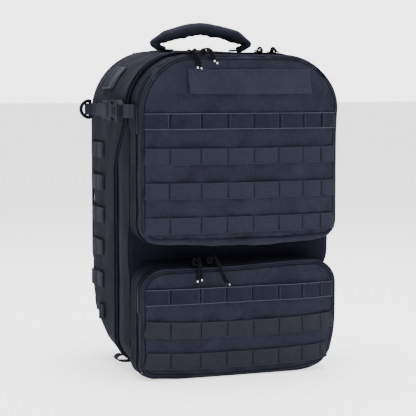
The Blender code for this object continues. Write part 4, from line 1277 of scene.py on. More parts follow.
def make_handle():
    """A padded grip wrapped round webbing, which is sewn down to the top at both ends."""
    base = TOP_REAR + 0.3 * MM
    web_half = [(-50, -1.4), (-64, -0.8), (-74, 5), (-63, 15), (-45, 21.5), (-24, 27), (0, 30)]
    web = even(spline(mirror_path([(x * MM, HANDLE_Y, base + z * MM) for x, z in web_half]), 10), 2.5 * MM)
    strap = make("handle_strap", [sweep_part(web, web_out(web), tape_profile(18 * MM, 2.6 * MM))], BINDING)
    place(strap, "carry_handle", ["handle_webbing"])
    grip_half = [(-62, 0), (-70, 2.5), (-81, 9.5), (-66, 17), (-47, 23.5), (-25, 28.8), (0, 31.5)]
    path = even(
        spline(mirror_path([(x * MM, HANDLE_Y, base + z * MM) for x, z in grip_half]), 12), 2.0 * MM
    )
    share = np.linspace(0, 1, len(path))
    ends = 0.42 + 0.58 * smoothstep(np.minimum(share, 1 - share), 0.10, 0.24)
    sides = 40
    turns = np.linspace(0, math.tau, sides, endpoint=False)
    half_w, half_t = 15 * MM, 10 * MM
    flat = np.sign(np.cos(turns)) * np.abs(np.cos(turns)) ** 0.8 * half_w
    high = np.sign(np.sin(turns)) * np.abs(np.sin(turns)) ** 0.85 * half_t
    _, side_dirs, ups = frames_along(path, web_out(path))
    grid = path[:, None] + side_dirs[:, None] * flat[None, :, None] * ends[:, None, None]
    grid = grid + ups[:, None] * high[None, :, None] * ends[:, None, None]
    radial = grid - path[:, None]
    radial /= np.linalg.norm(radial, axis=2)[..., None]
    under = smoothstep(-radial[..., 2], -0.1, 0.9)
    wrinkle = ripple(grid, 16 * MM, 61, (1.6, 0.3, 0.5)) * (0.25 + 0.9 * under) * 0.9 * MM
    slow = ripple(grid, 45 * MM, 62) * 0.6 * MM
    grid = grid + radial * (wrinkle + slow)[..., None]
    caps = [
        path[end] + (grid[end] - path[end]) * shrink
        for end, shrink in ((0, 0.85), (0, 0.5), (0, 0.03), (-1, 0.85), (-1, 0.5), (-1, 0.03))
    ]
    whole = np.concatenate([np.stack(caps[:3][::-1]), grid, np.stack(caps[3:])])
    grip = make("handle_grip_cover", [grid_part(whole, loop_u=True)], FABRIC)
    face_out(grip, (0, HANDLE_Y, base + 28 * MM))
    place(grip, "carry_handle", ["handle_grip"])
    seam_turn = int(sides * 0.60)
    bare = len(path) // 7
    seam = grid[bare:-bare, seam_turn] + radial[bare:-bare, seam_turn] * 0.3 * MM
    welt = make(
        "handle_seam", [sweep_part(seam, radial[bare:-bare, seam_turn], round_profile(0.9 * MM, 8))], PIPING
    )
    place(welt, "carry_handle")
    sewn = []
    for side in (-1, 1):
        sewn.append(
            box_stitch((side * 57 * MM, HANDLE_Y, base + 1.6 * MM), (1, 0, 0), (0, 1, 0), 14 * MM, 12 * MM)
        )
    cross = make("handle_box_stitch", [part for group in sewn for part in group], THREAD, smooth=False)
    place(cross, "carry_handle")


def web_out(path):
    """Outward directions of a strap that runs in the XZ plane."""
    tangents = np.gradient(path, axis=0)
    out = np.stack([tangents[:, 2], 0 * tangents[:, 1], -tangents[:, 0]], 1)
    out /= np.linalg.norm(out, axis=1)[:, None]
    return -out


def box_stitch(centre, along, across, length, width):
    """A sewn square with a cross in it."""
    centre, along, across = (np.array(v, float) for v in (centre, along, across))
    a, b = along * length / 2, across * width / 2
    corners = [centre - a - b, centre + a - b, centre + a + b, centre - a + b]
    up = np.cross(along, across)
    lines = list(zip(corners, corners[1:] + corners[:1])) + [
        (corners[0], corners[2]), (corners[1], corners[3])
    ]
    return [stitches(np.linspace(p, q, 8), up, 2.6 * MM, 1.9 * MM, 0.6 * MM) for p, q in lines]


# ---------------------------------------------------------------- pieces: sides

def make_side_webbing(tree):
    """Six short tapes on each side, tacked at both ends and once between."""
    for side, name in ((-1, "left"), (1, "right")):
        low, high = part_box("side_webbing_" + name)
        tapes, bars = [], []
        rng = np.random.default_rng(70 + side)
        for row in range(6):
            middle = high.z - WEB / 2 - row * 50.8 * MM
            rear = high.y if row < 5 else low.y + 22 * MM
            tacks = [low.y, (low.y + rear) / 2 + 1 * MM, rear]
            ys = np.linspace(low.y, rear, 24)
            start = np.stack([np.full(24, side * HALF_W), ys, np.full(24, middle)], 1)
            at = cast(tree, start, (-side, 0, 0), far=40 * MM)[:, 0]
            stand = np.zeros(24)
            for left, right in zip(tacks, tacks[1:]):
                share = np.clip((ys - left) / (right - left), 0, 1)
                stand += 2.6 * MM * rng.uniform(0.7, 1.15) * np.sin(
                    math.pi * share
                ) ** 0.7 * (share > 0) * (share < 1)
            path = np.stack([at + side * (1.2 * MM + stand), ys, np.full(24, middle)], 1)
            tapes.append(sweep_part(path, (side, 0, 0), tape_profile(WEB - 1 * MM, 1.5 * MM)))
            for y in tacks:
                z = middle + np.linspace(-0.42, 0.42, 17) * WEB
                y_at = np.clip(y, ys[1], ys[-2])
                x = np.interp(y_at, ys, path[:, 0]) + side * 0.8 * MM
                centres = np.stack([np.full(17, x), np.full(17, y_at), z], 1)
                axes = [
                    np.broadcast_to(np.array(a, float), centres.shape) for a in (
                        (0, 1, 0), (0, 0, 1), (side, 0, 0)
                    )
                ]
                bars.append(blocks_part(centres, *axes, (2.4 * MM, 0.95 * MM, 0.6 * MM)))
        pieces = [make("side_rows_" + name, tapes, SIDE_TAPE), make("tacks", bars, SHADED_TACK_THREAD, smooth=False)]
        place(join(pieces), "rear_body", ["side_webbing_" + name])


def yz_prism(name, outline, x_low, x_high, material, edge=1.2 * MM, segments=3):
    """A moulding from its outline in Y and Z, with its edges rounded."""
    edit = bmesh.new()
    near = [edit.verts.new((x_low, y, z)) for y, z in outline]
    far = [edit.verts.new((x_high, y, z)) for y, z in outline]
    count = len(outline)
    edit.faces.new(near[::-1])
    edit.faces.new(far)
    for i in range(count):
        j = (i + 1) % count
        edit.faces.new((near[i], near[j], far[j], far[i]))
    bmesh.ops.recalc_face_normals(edit, faces=edit.faces)
    rims = [e for e in edit.edges if abs(e.verts[0].co.x - e.verts[1].co.x) < 1e-6]
    if edge:
        bmesh.ops.bevel(edit, geom=rims, offset=edge, segments=segments, profile=0.6, affect="EDGES")
    return from_bmesh(name, edit, material)


def cut(piece, cutter):
    modifier = piece.modifiers.new("cut", "BOOLEAN")
    modifier.operation = "DIFFERENCE"
    modifier.object = cutter
    bpy.context.view_layer.update()
    name_material = piece.data.materials[0]
    apply_modifiers(piece)
    piece.data.materials.clear()
    piece.data.materials.append(name_material)
    piece.data.shade_smooth()
    piece.data.set_sharp_from_angle(angle=math.radians(35))
    bpy.data.objects.remove(cutter)
    return piece


def rounded_outline(points, radius, steps=4):
    """A polygon with its corners rounded."""
    made = []
    count = len(points)
    for i in range(count):
        here = np.array(points[i], float)
        before, after = np.array(points[i - 1], float), np.array(points[(i + 1) % count], float)
        to_before, to_after = before - here, after - here
        reach_before = min(radius, np.linalg.norm(to_before) / 2.2)
        reach_after = min(radius, np.linalg.norm(to_after) / 2.2)
        a = here + to_before / np.linalg.norm(to_before) * reach_before
        b = here + to_after / np.linalg.norm(to_after) * reach_after
        for share in np.linspace(0, 1, steps + 1):
            made.append((1 - share) ** 2 * a + 2 * share * (1 - share) * here + share**2 * b)
    return [tuple(p) for p in made]


STRAP_Z = 389 * MM
STRAP_W = 20 * MM
BUCKLE_Y = -15


def side_points(side, points):
    return np.array([(side * x * MM, y * MM, STRAP_Z + z * MM) for x, y, z in points])


def buckle_outline(points, radius):
    """A rounded outline from points in millimetres: y from the buckle's closing line, z from its middle."""
    return rounded_outline([((BUCKLE_Y + y) * MM, STRAP_Z + z * MM) for y, z in points], radius)


def make_buckles():
    """A side-release buckle on each side: the socket's tongue is sewn to the lid, the plug is on the strap."""
    for side, name in ((-1, "left"), (1, "right")):
        make_socket(side, name)
        make_plug(side, name)
        tail = side_points(
            side, [(159.7, -29, 0), (160.0, 0, 0), (160.2, 40, 0), (159.9, 70, 0), (159.7, 104, 0)]
        )
        path = even(tail, 3 * MM)
        strap = make(
            "side_strap_tape_" + name, [sweep_part(path, (side, 0, 0), tape_profile(STRAP_W, 1.6 * MM))],
            TAPE
        )
        place(strap, "rear_body", ["side_strap_" + name])


def span(side, low, high):
    """Two places out from the middle on one side, in millimetres, in rising order."""
    return sorted((side * low * MM, side * high * MM))


def make_socket(side, name):
    """The socket: hollow for the plug's arms, with open edges where they latch, and curled rear corners."""
    half = 16.5
    shape = [
        (-47, -9), (-47, 9), (-42, 12), (-38, half - 1), (-31, half), (-25, half - 1), (-21, half - 4),
        (-14, half - 4), (-9, half - 1), (-5, half), (-1, half - 1), (-1, 1 - half), (-5, -half), (
            -9, 1 - half
        ),
        (-14, 4 - half), (-21, 4 - half), (-25, 1 - half), (-31, -half), (-38, 1 - half), (-42, -12),
    ]
    socket = yz_prism(
        "side_buckle_socket_" + name, buckle_outline(shape, 3 * MM), *span(side, 161.2, 170.6), PLASTIC
    )
    mouth = buckle_outline([(-33, -13), (5, -14.2), (5, 14.2), (-33, 13)], 1 * MM)
    cut(socket, yz_prism("mouth", mouth, *span(side, 163.2, 168.8), PLASTIC, 0))
    through = span(side, 155, 180)
    bar_slot = buckle_outline([(-44.5, -10.5), (-40, -11), (-40, 11), (-44.5, 10.5)], 1.5 * MM)
    cut(socket, yz_prism("bar", bar_slot, *through, PLASTIC, 0))
    for edge in (-1, 1):
        window = buckle_outline(
            [(-26, edge * 9), (-10, edge * 9), (-10, edge * 19), (-26, edge * 19)], 2 * MM
        )
        cut(socket, yz_prism("window", window, *through, PLASTIC, 0))
    lens = buckle_outline([(-34, -6), (-30, -8.5), (-27, -6), (-27, 6), (-30, 8.5), (-34, 6)], 3 * MM)
    cut(socket, yz_prism("lens", lens, *span(side, 169.9, 180), PLASTIC, 0))
    at = (side * 170.6 * MM, STRAP_Z)
    ribs = [
        rounded_box(
            "rib", (at[0], (BUCKLE_Y + y) * MM, at[1]), (0.9 * MM, 1.1 * MM, 12 * MM), PLASTIC, 0.3 * MM, 2
        )
        for y in (-21, -18, -15)
    ]
    route = [(159.6, -104, 0), (159.8, -90, 0), (161.9, -82, 0), (162.6, -68, 0), (163.6, -59, 0)]
    path = even(spline(side_points(side, route), 6), 2 * MM)
    tongue = make("tongue", [sweep_part(path, (side, 0, 0), tape_profile(STRAP_W, 1.5 * MM))], TAPE)
    middle = (side * 160.7 * MM, -96 * MM, STRAP_Z)
    sewn = make("sewing", box_stitch(middle, (0, 1, 0), (0, 0, 1), 13 * MM, 14 * MM), THREAD, smooth=False)
    place(join([socket] + ribs + [tongue, sewn]), "front_lid", ["side_buckle_female_" + name])


def make_plug(side, name):
    """The plug: two spring arms and a guide, on a ladder for the strap, with the strap wound through it."""
    half = 15.5
    shape = [
        (0.5, 4 - half), (0.5, half - 4), (3, half - 1), (8, half), (13, half - 1), (17, half - 3), (
            30, half - 3
        ),
        (
            35, half - 1
        ), (39, half), (42, half - 2), (43, half - 6), (43, 6 - half), (42, 2 - half), (39, -half),
        (35, 1 - half), (30, 3 - half), (17, 3 - half), (13, 1 - half), (8, -half), (3, 1 - half),
    ]
    body = yz_prism(
        "side_buckle_plug_" + name, buckle_outline(shape, 3 * MM), *span(side, 161.4, 169.2), PLASTIC
    )
    through = span(side, 155, 180)
    for y_low, y_high in ((14, 19), (28, 33)):
        slot = buckle_outline([(y_low, -10.6), (y_high, -10.6), (y_high, 10.6), (y_low, 10.6)], 1.2 * MM)
        cut(body, yz_prism("slot", slot, *through, PLASTIC, 0))
    arms = []
    for edge in (-1, 1):
        arm = [(5, 8), (-11, 9), (-17, 8.5), (-25, 6.5), (-25, 9), (-19, 12), (-11, 12.4), (5, 10.4)]
        outline = buckle_outline([(y, edge * z) for y, z in arm], 1.2 * MM)
        arms.append(yz_prism("arm", outline, *span(side, 164.2, 168.2), PLASTIC, 0.7 * MM, 2))
    guide_at = (side * 166.2 * MM, (BUCKLE_Y - 8) * MM, STRAP_Z)
    arms.append(rounded_box("guide", guide_at, (3.6 * MM, 26 * MM, 4.4 * MM), PLASTIC, 1 * MM))
    route = [
        (168.2, 11, 0), (170.2, 13, 0), (170.4, 22, 0), (170.0, 29, 0), (166.6, 32, 0), (162.4, 34, 0),
        (161.6, 42, 0)
    ]
    wound = even(spline(side_points(side, [(x, y + BUCKLE_Y, z) for x, y, z in route]), 6), 1.5 * MM)
    tape = make("wound", [sweep_part(wound, (side, 0, 0), tape_profile(STRAP_W, 1.4 * MM))], TAPE)
    place(
        join([body] + arms + [tape]), "side_buckle_male_" + name + "_body", ["side_buckle_male_" + name],
    )


def make_rings():
    """A wire D-ring in a webbing keeper behind each side strap."""
    for side, name in ((-1, "left"), (1, "right")):
        pivot = np.array((side * 163.2 * MM, 108 * MM, STRAP_Z))
        bend = np.linspace(-math.pi / 2, math.pi / 2, 26)
        reach, half = 15 * MM, 13.5 * MM
        curve = [pivot + (side * reach * math.cos(a), 0, half * math.sin(a)) for a in bend]
        bar = [pivot + (0, 0, half * s) for s in np.linspace(1, -1, 10)[1:-1]]
        ring = make(
            "d_ring_wire_" + name,
            [sweep_part(curve + bar, (0, 1, 0), round_profile(2.8 * MM, 14), closed=True)], METAL
        )
        place(ring, "d_ring_" + name + "_body", ["d_ring_" + name])
        loop = side_points(
            side,
            [(160.4, 88, 0), (161.6, 98, 0), (168, 104, 0), (171.5, 108, 0), (168, 112, 0), (160.2, 113, 0)]
        )
        keeper_path = even(spline(loop, 6), 1.5 * MM)
        keeper = make(
            "ring_keeper_" + name, [sweep_part(keeper_path, (side, 0, 0), tape_profile(18 * MM, 1.3 * MM))],
            TAPE
        )
        place(keeper, "rear_body")


def shoulder_point(angle, lift, y):
    """A point lifted off the body's upper left corner, angle degrees down from its highest point."""
    sizes = body_sizes(np.array(y, float))
    turn = math.radians(angle)
    corner, high = float(sizes["r_top"]), float(sizes["high"])
    reach = corner + lift
    return np.array(
        (-(HALF_W - corner + reach * math.sin(turn)), y, high - corner + reach * math.cos(turn))
    )


def make_tube_port():
    """A rubber hood sewn down along its top edge: fine ribs at the rear, smooth in front, open below."""
    y_front, y_rear = 17 * MM, 68 * MM
    angles = np.linspace(45, 68, 30)
    ys = np.linspace(y_rear, y_front, 64)
    across = np.linspace(0, 1, len(ys))
    grid = np.zeros((len(angles), len(ys), 3))
    for row, angle in enumerate(angles):
        share = row / (len(angles) - 1)
        for col, y in enumerate(ys):
            edge = min(across[col], 1 - across[col])
            rise = 1.4 * MM + 2.6 * MM * share * min(1, edge * 9) ** 0.6
            ribs = 0.55 * MM * math.sin(math.tau * (y - y_front) / (3.0 * MM)) * smoothstep(
                across[col], 0.52, 0.44
            )
            grid[row, col] = shoulder_point(angle, rise + ribs, y)
    hood = make("tube_port_hood", [grid_part(grid)], RUBBER)
    face_out(hood, (-0.05, 0.04, 0.35))
    thicken(hood, 1.8 * MM, 0.6)
    place(hood, "port_cover", ["tube_port"])
    rim = np.array(
        [shoulder_point(46.5, 3.0 * MM, y) for y in np.linspace(y_rear - 2 * MM, y_front + 2 * MM, 20)]
    )
    out = rim - np.array([-(HALF_W - 0.095), 0.04, 0.385])
    sewn = make("tube_port_stitching", [stitches(rim, out * (1, 0, 1))], THREAD, smooth=False)
    place(sewn, "port_cover")
    lip = np.array(
        [shoulder_point(67.6, 4.6 * MM, y) for y in np.linspace(y_rear - 3 * MM, y_front + 3 * MM, 24)]
    )
    bead = make("tube_port_lip", [sweep_part(lip, (-1, 0, 0.5), round_profile(1.2 * MM))], RUBBER)
    place(bead, "port_cover")
    slit = np.array(
        [
            [
                shoulder_point(a, 0.9 * MM, y) for y in np.linspace(y_rear - 7 * MM, y_front + 7 * MM, 12)
            ] for a in (58, 61, 64)
        ]
    )
    dark = make("tube_slit_binding", [grid_part(slit)], BINDING)
    thicken(dark, 0.8 * MM, 0.0)
    place(dark, "rear_body")


def make_zip_end_loops():
    """A folded tape at each lower end of the main zip, for holding the bag while the zip is drawn."""
    for side, name in ((-1, "left"), (1, "right")):
        fold = [(129.5, 0.8), (142, 1.0), (151.5, 2.4), (155.6, 6.4), (152.5, 10.6), (146.5, 11.4)]
        path = even(spline([(side * x * MM, 3.5 * MM, z * MM) for x, z in fold], 8), 1.2 * MM)
        tape = make(
            "zip_loop_" + name, [sweep_part(path, web_out(path), tape_profile(18 * MM, 1.4 * MM))], TAPE
        )
        place(tape, "rear_body", ["zip_end_loop_" + name])


# ---------------------------------------------------------------- pieces: back and harness

def pad_rings(sizes, y_from, y_to, radius):
    rings = [flat_ring(PAD_TEMPLATE, sizes, y)[0] for y in np.linspace(y_from, y_to - radius, 3)]
    for turn in np.linspace(0, math.pi / 2, 6)[1:]:
        inset = radius * (1 - math.cos(turn))
        rings.append(flat_ring(PAD_TEMPLATE, sizes, y_to - radius * (1 - math.sin(turn)), inset)[0])
    face_from = len(rings) - 1
    middle = (sizes[1] + sizes[2]) / 2
    rings += inward_rings(rings[-1], (0, y_to, middle), 40)
    return rings, face_from


def make_back_pad(name, node, channels_x, channels_z, crown):
    """A foam pad under knitted mesh, quilted into cells by sewn channels, bound round its edge."""
    low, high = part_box(node)
    sizes = (high.x, low.z, high.z, 26 * MM, 26 * MM)
    rings, face_from = pad_rings(sizes, low.y, high.y, 4 * MM)
    points = np.stack(rings)
    x, y, z = points[..., 0], points[..., 1], points[..., 2]
    face = smoothstep(y, low.y, high.y - 1 * MM)
    middle = (low.z + high.z) / 2
    puff = crown * (1 - (np.abs(x) / high.x) ** 3) * (1 - (np.abs(z - middle) / (high.z - middle)) ** 3)
    groove = np.zeros(x.shape)
    for at in channels_x:
        groove = np.maximum(groove, np.exp(-(((x - at) / (4.5 * MM)) ** 2)))
    for at in channels_z:
        groove = np.maximum(groove, np.exp(-(((z - at) / (4.5 * MM)) ** 2)))
    inset = np.minimum(high.x - np.abs(x), np.minimum(z - low.z, high.z - z))
    groove = np.maximum(groove, np.exp(-(((inset - 12 * MM) / (4 * MM)) ** 2)))
    points[..., 1] += face * (puff - 4.5 * MM * groove + ripple(points, 24 * MM, 81) * 0.5 * MM)
    pad = make(name, [shell_part(list(points), face_from)], MESH_CLOTH, weld=True)
    face_out(pad, (0, low.y, middle))
    tree = surface(pad)
    place(pad, "rear_body", [node])
    ring, out = flat_ring(PAD_TEMPLATE, sizes, low.y + 2.2 * MM, -0.4 * MM)
    binding = [
        (-2.6 * MM, -0.6 * MM), (2.6 * MM, -0.6 * MM), (3.0 * MM, 0.3 * MM), (2.4 * MM, 1.3 * MM),
        (-2.4 * MM, 1.3 * MM), (-3.0 * MM, 0.3 * MM)
    ]
    edge = make(name + "_binding", [sweep_part(ring, out, binding, closed=True)], BINDING)
    place(edge, "rear_body")
    lines = []
    for at in channels_x:
        lines.append([(at, high.y, z) for z in np.linspace(low.z + 16 * MM, high.z - 16 * MM, 40)])
    for at in channels_z:
        lines.append([(x, high.y, at) for x in np.linspace(16 * MM - high.x, high.x - 16 * MM, 40)])
    parts = [
        stitches(cast(tree, line, (0, -1, 0)) + (0, 0.2 * MM, 0), (0, 1, 0), 3.6 * MM) for line in lines
    ]
    sewn = make(name + "_quilting", parts, THREAD, smooth=False)
    place(sewn, "rear_body")


def make_inner_parts():
    """The frame sheet in its sleeve, and the shelf that splits the main compartment."""
    low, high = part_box("divider_shelf")
    xs, ys = np.linspace(low.x, high.x, 60), np.linspace(low.y, high.y, 26)
    grid = np.stack(np.meshgrid(xs, ys), -1)
    z = (low.z + high.z) / 2 + 0 * grid[..., :1]
    grid = np.concatenate([grid, z], -1)
    sag = (1 - (grid[..., 0] / high.x) ** 2) * 5 * MM * smoothstep(-grid[..., 1], -high.y, -low.y)
    grid[..., 2] += -sag + ripple(grid, 60 * MM, 91) * 0.8 * MM
    shelf = make("divider_shelf_panel", [grid_part(grid)], LINING)
    thicken(shelf, 3.4 * MM, 0.0)
    edge = grid[0]
    bound = make("divider_binding", [sweep_part(edge, (0, -1, 0), round_profile(2.4 * MM))], BINDING)
    place(shelf, "rear_body", ["divider_shelf"])
    place(bound, "rear_body")
    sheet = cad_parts["frame_sheet"]
    sheet.data.materials.clear()
    sheet.data.materials.append(SHEET_PLASTIC)
    low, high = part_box("frame_sheet")
    ring, _ = flat_ring(
        PAD_TEMPLATE, (high.x + 6 * MM, low.z - 6 * MM, high.z + 4 * MM, 60 * MM, 24 * MM), low.y - 1.4 * MM
    )
    rings = [ring] + inward_rings(ring, (0, low.y - 1.4 * MM, (low.z + high.z) / 2), 36)
    points = np.stack(rings)
    points[..., 1] -= np.clip(ripple(points, 70 * MM, 93) * 0.6 * MM, -0.9 * MM, 1.2 * MM)
    sleeve = make("frame_sleeve", [shell_part(list(points), 0)], LINING, weld=True)
    thicken(sleeve, 0.8 * MM, 0.0)
    place(sleeve, "rear_body")


SHOULDER_STATIONS = (
    (50, 473, 126.5, 130.5), (50.5, 468, 127.0, 133.5), (51.5, 460, 129.6, 139.8), (53, 450, 135.3, 148.3),
    (58, 410, 135.3, 148.3), (70, 350, 135.3, 148.3), (84, 280, 135.3, 148.3), (93, 215, 135.3, 148.3),
    (95, 162, 135.3, 147.3),
)


def make_shoulder_strap(side, name):
    """Foam between mesh and fabric, with bound edges and a length of webbing sewn down its middle."""
    body = "shoulder_strap_" + name + "_body"
    stations = even(
        spline(np.array([(side * x, z, near, far) for x, z, near, far in SHOULDER_STATIONS]) * MM, 8),
        3 * MM
    )
    x, z, near, far = stations.T
    path = np.stack([x, (near + far) / 2, z], 1)
    tangents = np.gradient(path, axis=0) * (1, 0, 1)
    tangents /= np.linalg.norm(tangents, axis=1)[:, None]
    sides = np.stack([-tangents[:, 2], 0 * x, tangents[:, 0]], 1)
    turns = np.linspace(0, math.tau, 44, endpoint=False)
    wide = np.sign(np.cos(turns)) * np.abs(np.cos(turns)) ** 0.55
    deep = np.sign(np.sin(turns)) * np.abs(np.sin(turns)) ** 0.6
    share = np.linspace(0, 1, len(path))
    half_w = 31 * MM * (1 - 0.22 * smoothstep(share, 0.9, 1.0))
    half_t = (far - near) / 2
    grid = path[:, None] + sides[:, None] * (half_w[:, None] * wide)[..., None]
    grid[..., 1] += half_t[:, None] * deep
    grid[..., 1] += (ripple(grid, 40 * MM, 100 + side) * 0.6 * MM) * np.sign(deep)
    ends = [path[0] + (grid[0] - path[0]) * 0.02], [path[-1] + (grid[-1] - path[-1]) * 0.02]
    whole = np.concatenate([ends[0], grid, ends[1]])
    strap = make("shoulder_pad_" + name, [grid_part(whole, loop_u=True)], MESH_CLOTH)
    face_out(strap, path[len(path) // 2])
    place(strap, body, ["shoulder_strap_" + name])
    edges = []
    for sign in (-1, 1):
        line = path + sides * (sign * half_w)[:, None] * 0.985
        edges.append(
            sweep_part(
                line, sides * sign,
                [(-3.2 * MM, -1 * MM), (3.2 * MM, -1 * MM), (2.6 * MM, 1.4 * MM), (-2.6 * MM, 1.4 * MM)]
            )
        )
    bound = make("shoulder_binding_" + name, edges, BINDING)
    place(bound, body)
    spine = path.copy()
    spine[:, 1] = path[:, 1] + half_t + 0.9 * MM
    web_path = spine[6:]
    tape = make(
        "shoulder_web_" + name, [sweep_part(web_path, (0, 1, 0), tape_profile(WEB - 1 * MM, 1.5 * MM))],
        TAPE
    )
    place(tape, body)
    rows = []
    for sign in (-1, 1):
        line = web_path + sides[6:] * sign * 10.5 * MM + (0, 0.75 * MM, 0)
        rows.append(stitches(line, (0, 1, 0)))
    for at in range(12, len(web_path) - 4, 12):
        bar = web_path[at] + sides[6 + at] * np.linspace(-10 * MM, 10 * MM, 8)[:, None] + (0, 0.8 * MM, 0)
        rows.append(stitches(bar, (0, 1, 0), 1.6 * MM, 1.3 * MM, 1.6 * MM))
    sewn = make("shoulder_stitching_" + name, rows, THREAD, smooth=False)
    place(sewn, body)


def make_ladder_lock(name):
    """A moulded three-bar lock with the lower strap threaded round its middle bar."""
    body = "shoulder_strap_" + name + "_body"
    low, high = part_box("ladder_lock_" + name)
    centre_x, mid_y = (low.x + high.x) / 2, (low.y + high.y) / 2
    outline = rounded_outline(
        [
            (low.x, low.z + 3 * MM), (low.x + 3 * MM, low.z), (high.x - 3 * MM, low.z),
            (high.x, low.z + 3 * MM), (high.x, high.z), (low.x, high.z)
        ],
        3 * MM
    )
    edit = bmesh.new()
    near = [edit.verts.new((x, low.y, z)) for x, z in outline]
    far = [edit.verts.new((x, high.y, z)) for x, z in outline]
    edit.faces.new(near)
    edit.faces.new(far[::-1])
    for i in range(len(outline)):
        j = (i + 1) % len(outline)
        edit.faces.new((near[j], near[i], far[i], far[j]))
    bmesh.ops.recalc_face_normals(edit, faces=edit.faces)
    rims = [e for e in edit.edges if abs(e.verts[0].co.y - e.verts[1].co.y) < 1e-6]
    bmesh.ops.bevel(edit, geom=rims, offset=1.2 * MM, segments=3, profile=0.6, affect="EDGES")
    lock = from_bmesh("strap_lock_" + name, edit, PLASTIC)
    for down in (8, 18, 29):
        slot_centre = (centre_x, mid_y, high.z - (down - 2) * MM)
        cut(lock, rounded_box("s", slot_centre, (26 * MM, 20 * MM, 4.4 * MM), PLASTIC, 1.2 * MM, 2))
    wrap = [
        (centre_x, mid_y + 4.6 * MM, high.z - 4 * MM), (centre_x, mid_y + 4.4 * MM, high.z - 11 * MM),
        (centre_x, mid_y - 1 * MM, high.z - 16.5 * MM), (centre_x, mid_y - 4.2 * MM, high.z - 22 * MM),
        (centre_x, mid_y - 1 * MM, high.z - 27 * MM)
    ]
    path = even(spline(wrap, 6), 1.5 * MM)
    tangents = np.gradient(path, axis=0)
    out = np.stack([0 * tangents[:, 0], -tangents[:, 2], tangents[:, 1]], 1)
    tape = make("t", [sweep_part(path, out, tape_profile(24 * MM, 1.5 * MM))], TAPE)
    place(join([lock, tape]), body, ["ladder_lock_" + name])


def make_sternum_half(side, name):
    """One half of the chest strap, with its half of the clip, lying unbuckled."""
    body = "shoulder_strap_" + name + "_body"
    low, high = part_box("sternum_strap_" + name)
    outer = side * max(abs(low.x), abs(high.x))
    z = (low.z + high.z) / 2
    near = low.y + 0.8 * MM
    path = even(
        [
            (outer, near, z), (side * 26 * MM, near, z), (side * 20 * MM, near + 1.6 * MM, z),
            (side * 12 * MM, near + 2.2 * MM, z)
        ],
        2 * MM
    )
    tape = make("chest_strap_" + name, [sweep_part(path, (0, 1, 0), tape_profile(17 * MM, 1.4 * MM))], TAPE)
    clip = rounded_box(
        "c", (side * 18.5 * MM, near + 3.6 * MM, z), (15 * MM, 6 * MM, 23 * MM), PLASTIC, 1.6 * MM
    )
    cut(
        clip,
        rounded_box(
            "s", (side * 22 * MM, near + 4 * MM, z), (3.4 * MM, 12 * MM, 17 * MM), PLASTIC, 0.8 * MM, 2
        )
    )
    if side < 0:
        nose = [
            rounded_box(
                "n", (side * 6.5 * MM, near + 3.6 * MM, z + dz), (10 * MM, 3.2 * MM, 3.6 * MM), PLASTIC,
                1 * MM
            ) for dz in (-8 * MM, 0, 8 * MM)
        ]
    else:
        nose = [
            rounded_box(
                "n", (side * 7.5 * MM, near + 3.6 * MM, z), (11 * MM, 6 * MM, 22 * MM), PLASTIC, 1.8 * MM
            )
        ]
    place(join([tape, clip] + nose), body, ["sternum_strap_" + name])


def make_lower_strap(side, name):
    """The strap from the base corner to the lock."""
    run = [
        (137, 118, 84), (130, 131, 96), (115, 140, 107), (103, 142.4, 113), (97, 142, 122), (95, 141.8, 133)
    ]
    path = even(spline([(side * x * MM, y * MM, z * MM) for x, y, z in run], 8), 2.5 * MM)
    tangents = np.gradient(path, axis=0)
    across = np.array([side * 0.63, 0, 0.78]) + np.linspace(0, 1, len(path))[:, None] ** 3 * np.array(
        [side * 0.37, 0, -0.78]
    )
    out = np.cross(across, tangents)
    out *= np.sign(out[:, 1])[:, None]
    tape = make("lower_tape_" + name, [sweep_part(path, out, tape_profile(WEB - 1 * MM, 1.6 * MM))], TAPE)
    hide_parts("lower_strap_" + name)
    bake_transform(tape)
    patch = [(138, 104, 68), (137.5, 112, 76), (136.5, 119, 85)]
    base = even([(side * x * MM, y * MM, z * MM) for x, y, z in patch], 2 * MM)
    wing = make(
        "strap_anchor_" + name, [sweep_part(base, (0, 0.7, -0.7), tape_profile(34 * MM, 2.4 * MM))], SHADE_DARKENED_FABRIC
    )
    place(wing, "rear_body")


def make_harness():
    for side, name in ((-1, "left"), (1, "right")):
        make_shoulder_strap(side, name)
        make_ladder_lock(name)
        make_sternum_half(side, name)
        make_lower_strap(side, name)
    yoke = even([(-84 * MM, 131.2 * MM, 468 * MM), (84 * MM, 131.2 * MM, 468 * MM)], 4 * MM)
    cover = make("harness_yoke", [sweep_part(yoke, (0, 1, 0.1), tape_profile(22 * MM, 1.6 * MM))], BINDING)
    place(cover, "rear_body")


# ---------------------------------------------------------------- camera, light and floor

def light_room(tree):
    """A dim white room with a bright wall behind the bag and a bright ceiling."""
    ways = tree.nodes.new("ShaderNodeTexCoord").outputs["Generated"]
    total = None
    for way, low, high, gain, base in (
        ((0.42, 0.91, 0.0), 0.78, 0.98, 3.8, 0.16), ((0, 0, 1), 0.35, 0.95, 1.3, 0)
    ):
        towards = tree.nodes.new("ShaderNodeVectorMath")
        towards.operation = "DOT_PRODUCT"
        towards.inputs[1].default_value = way
        tree.links.new(ways, towards.inputs[0])
        glow = tree.nodes.new("ShaderNodeMapRange")
        glow.interpolation_type = "SMOOTHSTEP"
        glow.inputs["From Min"].default_value = low
        glow.inputs["From Max"].default_value = high
        glow.inputs["To Max"].default_value = gain
        tree.links.new(towards.outputs["Value"], glow.inputs["Value"])
        add = tree.nodes.new("ShaderNodeMath")
        add.inputs[1].default_value = base
        tree.links.new(glow.outputs["Result"], add.inputs[0])
        if total is not None:
            tree.links.new(total, add.inputs[1])
        total = add.outputs[0]
    tree.nodes["Background"].inputs["Color"].default_value = (1, 1, 1, 1)
    tree.links.new(total, tree.nodes["Background"].inputs["Strength"])


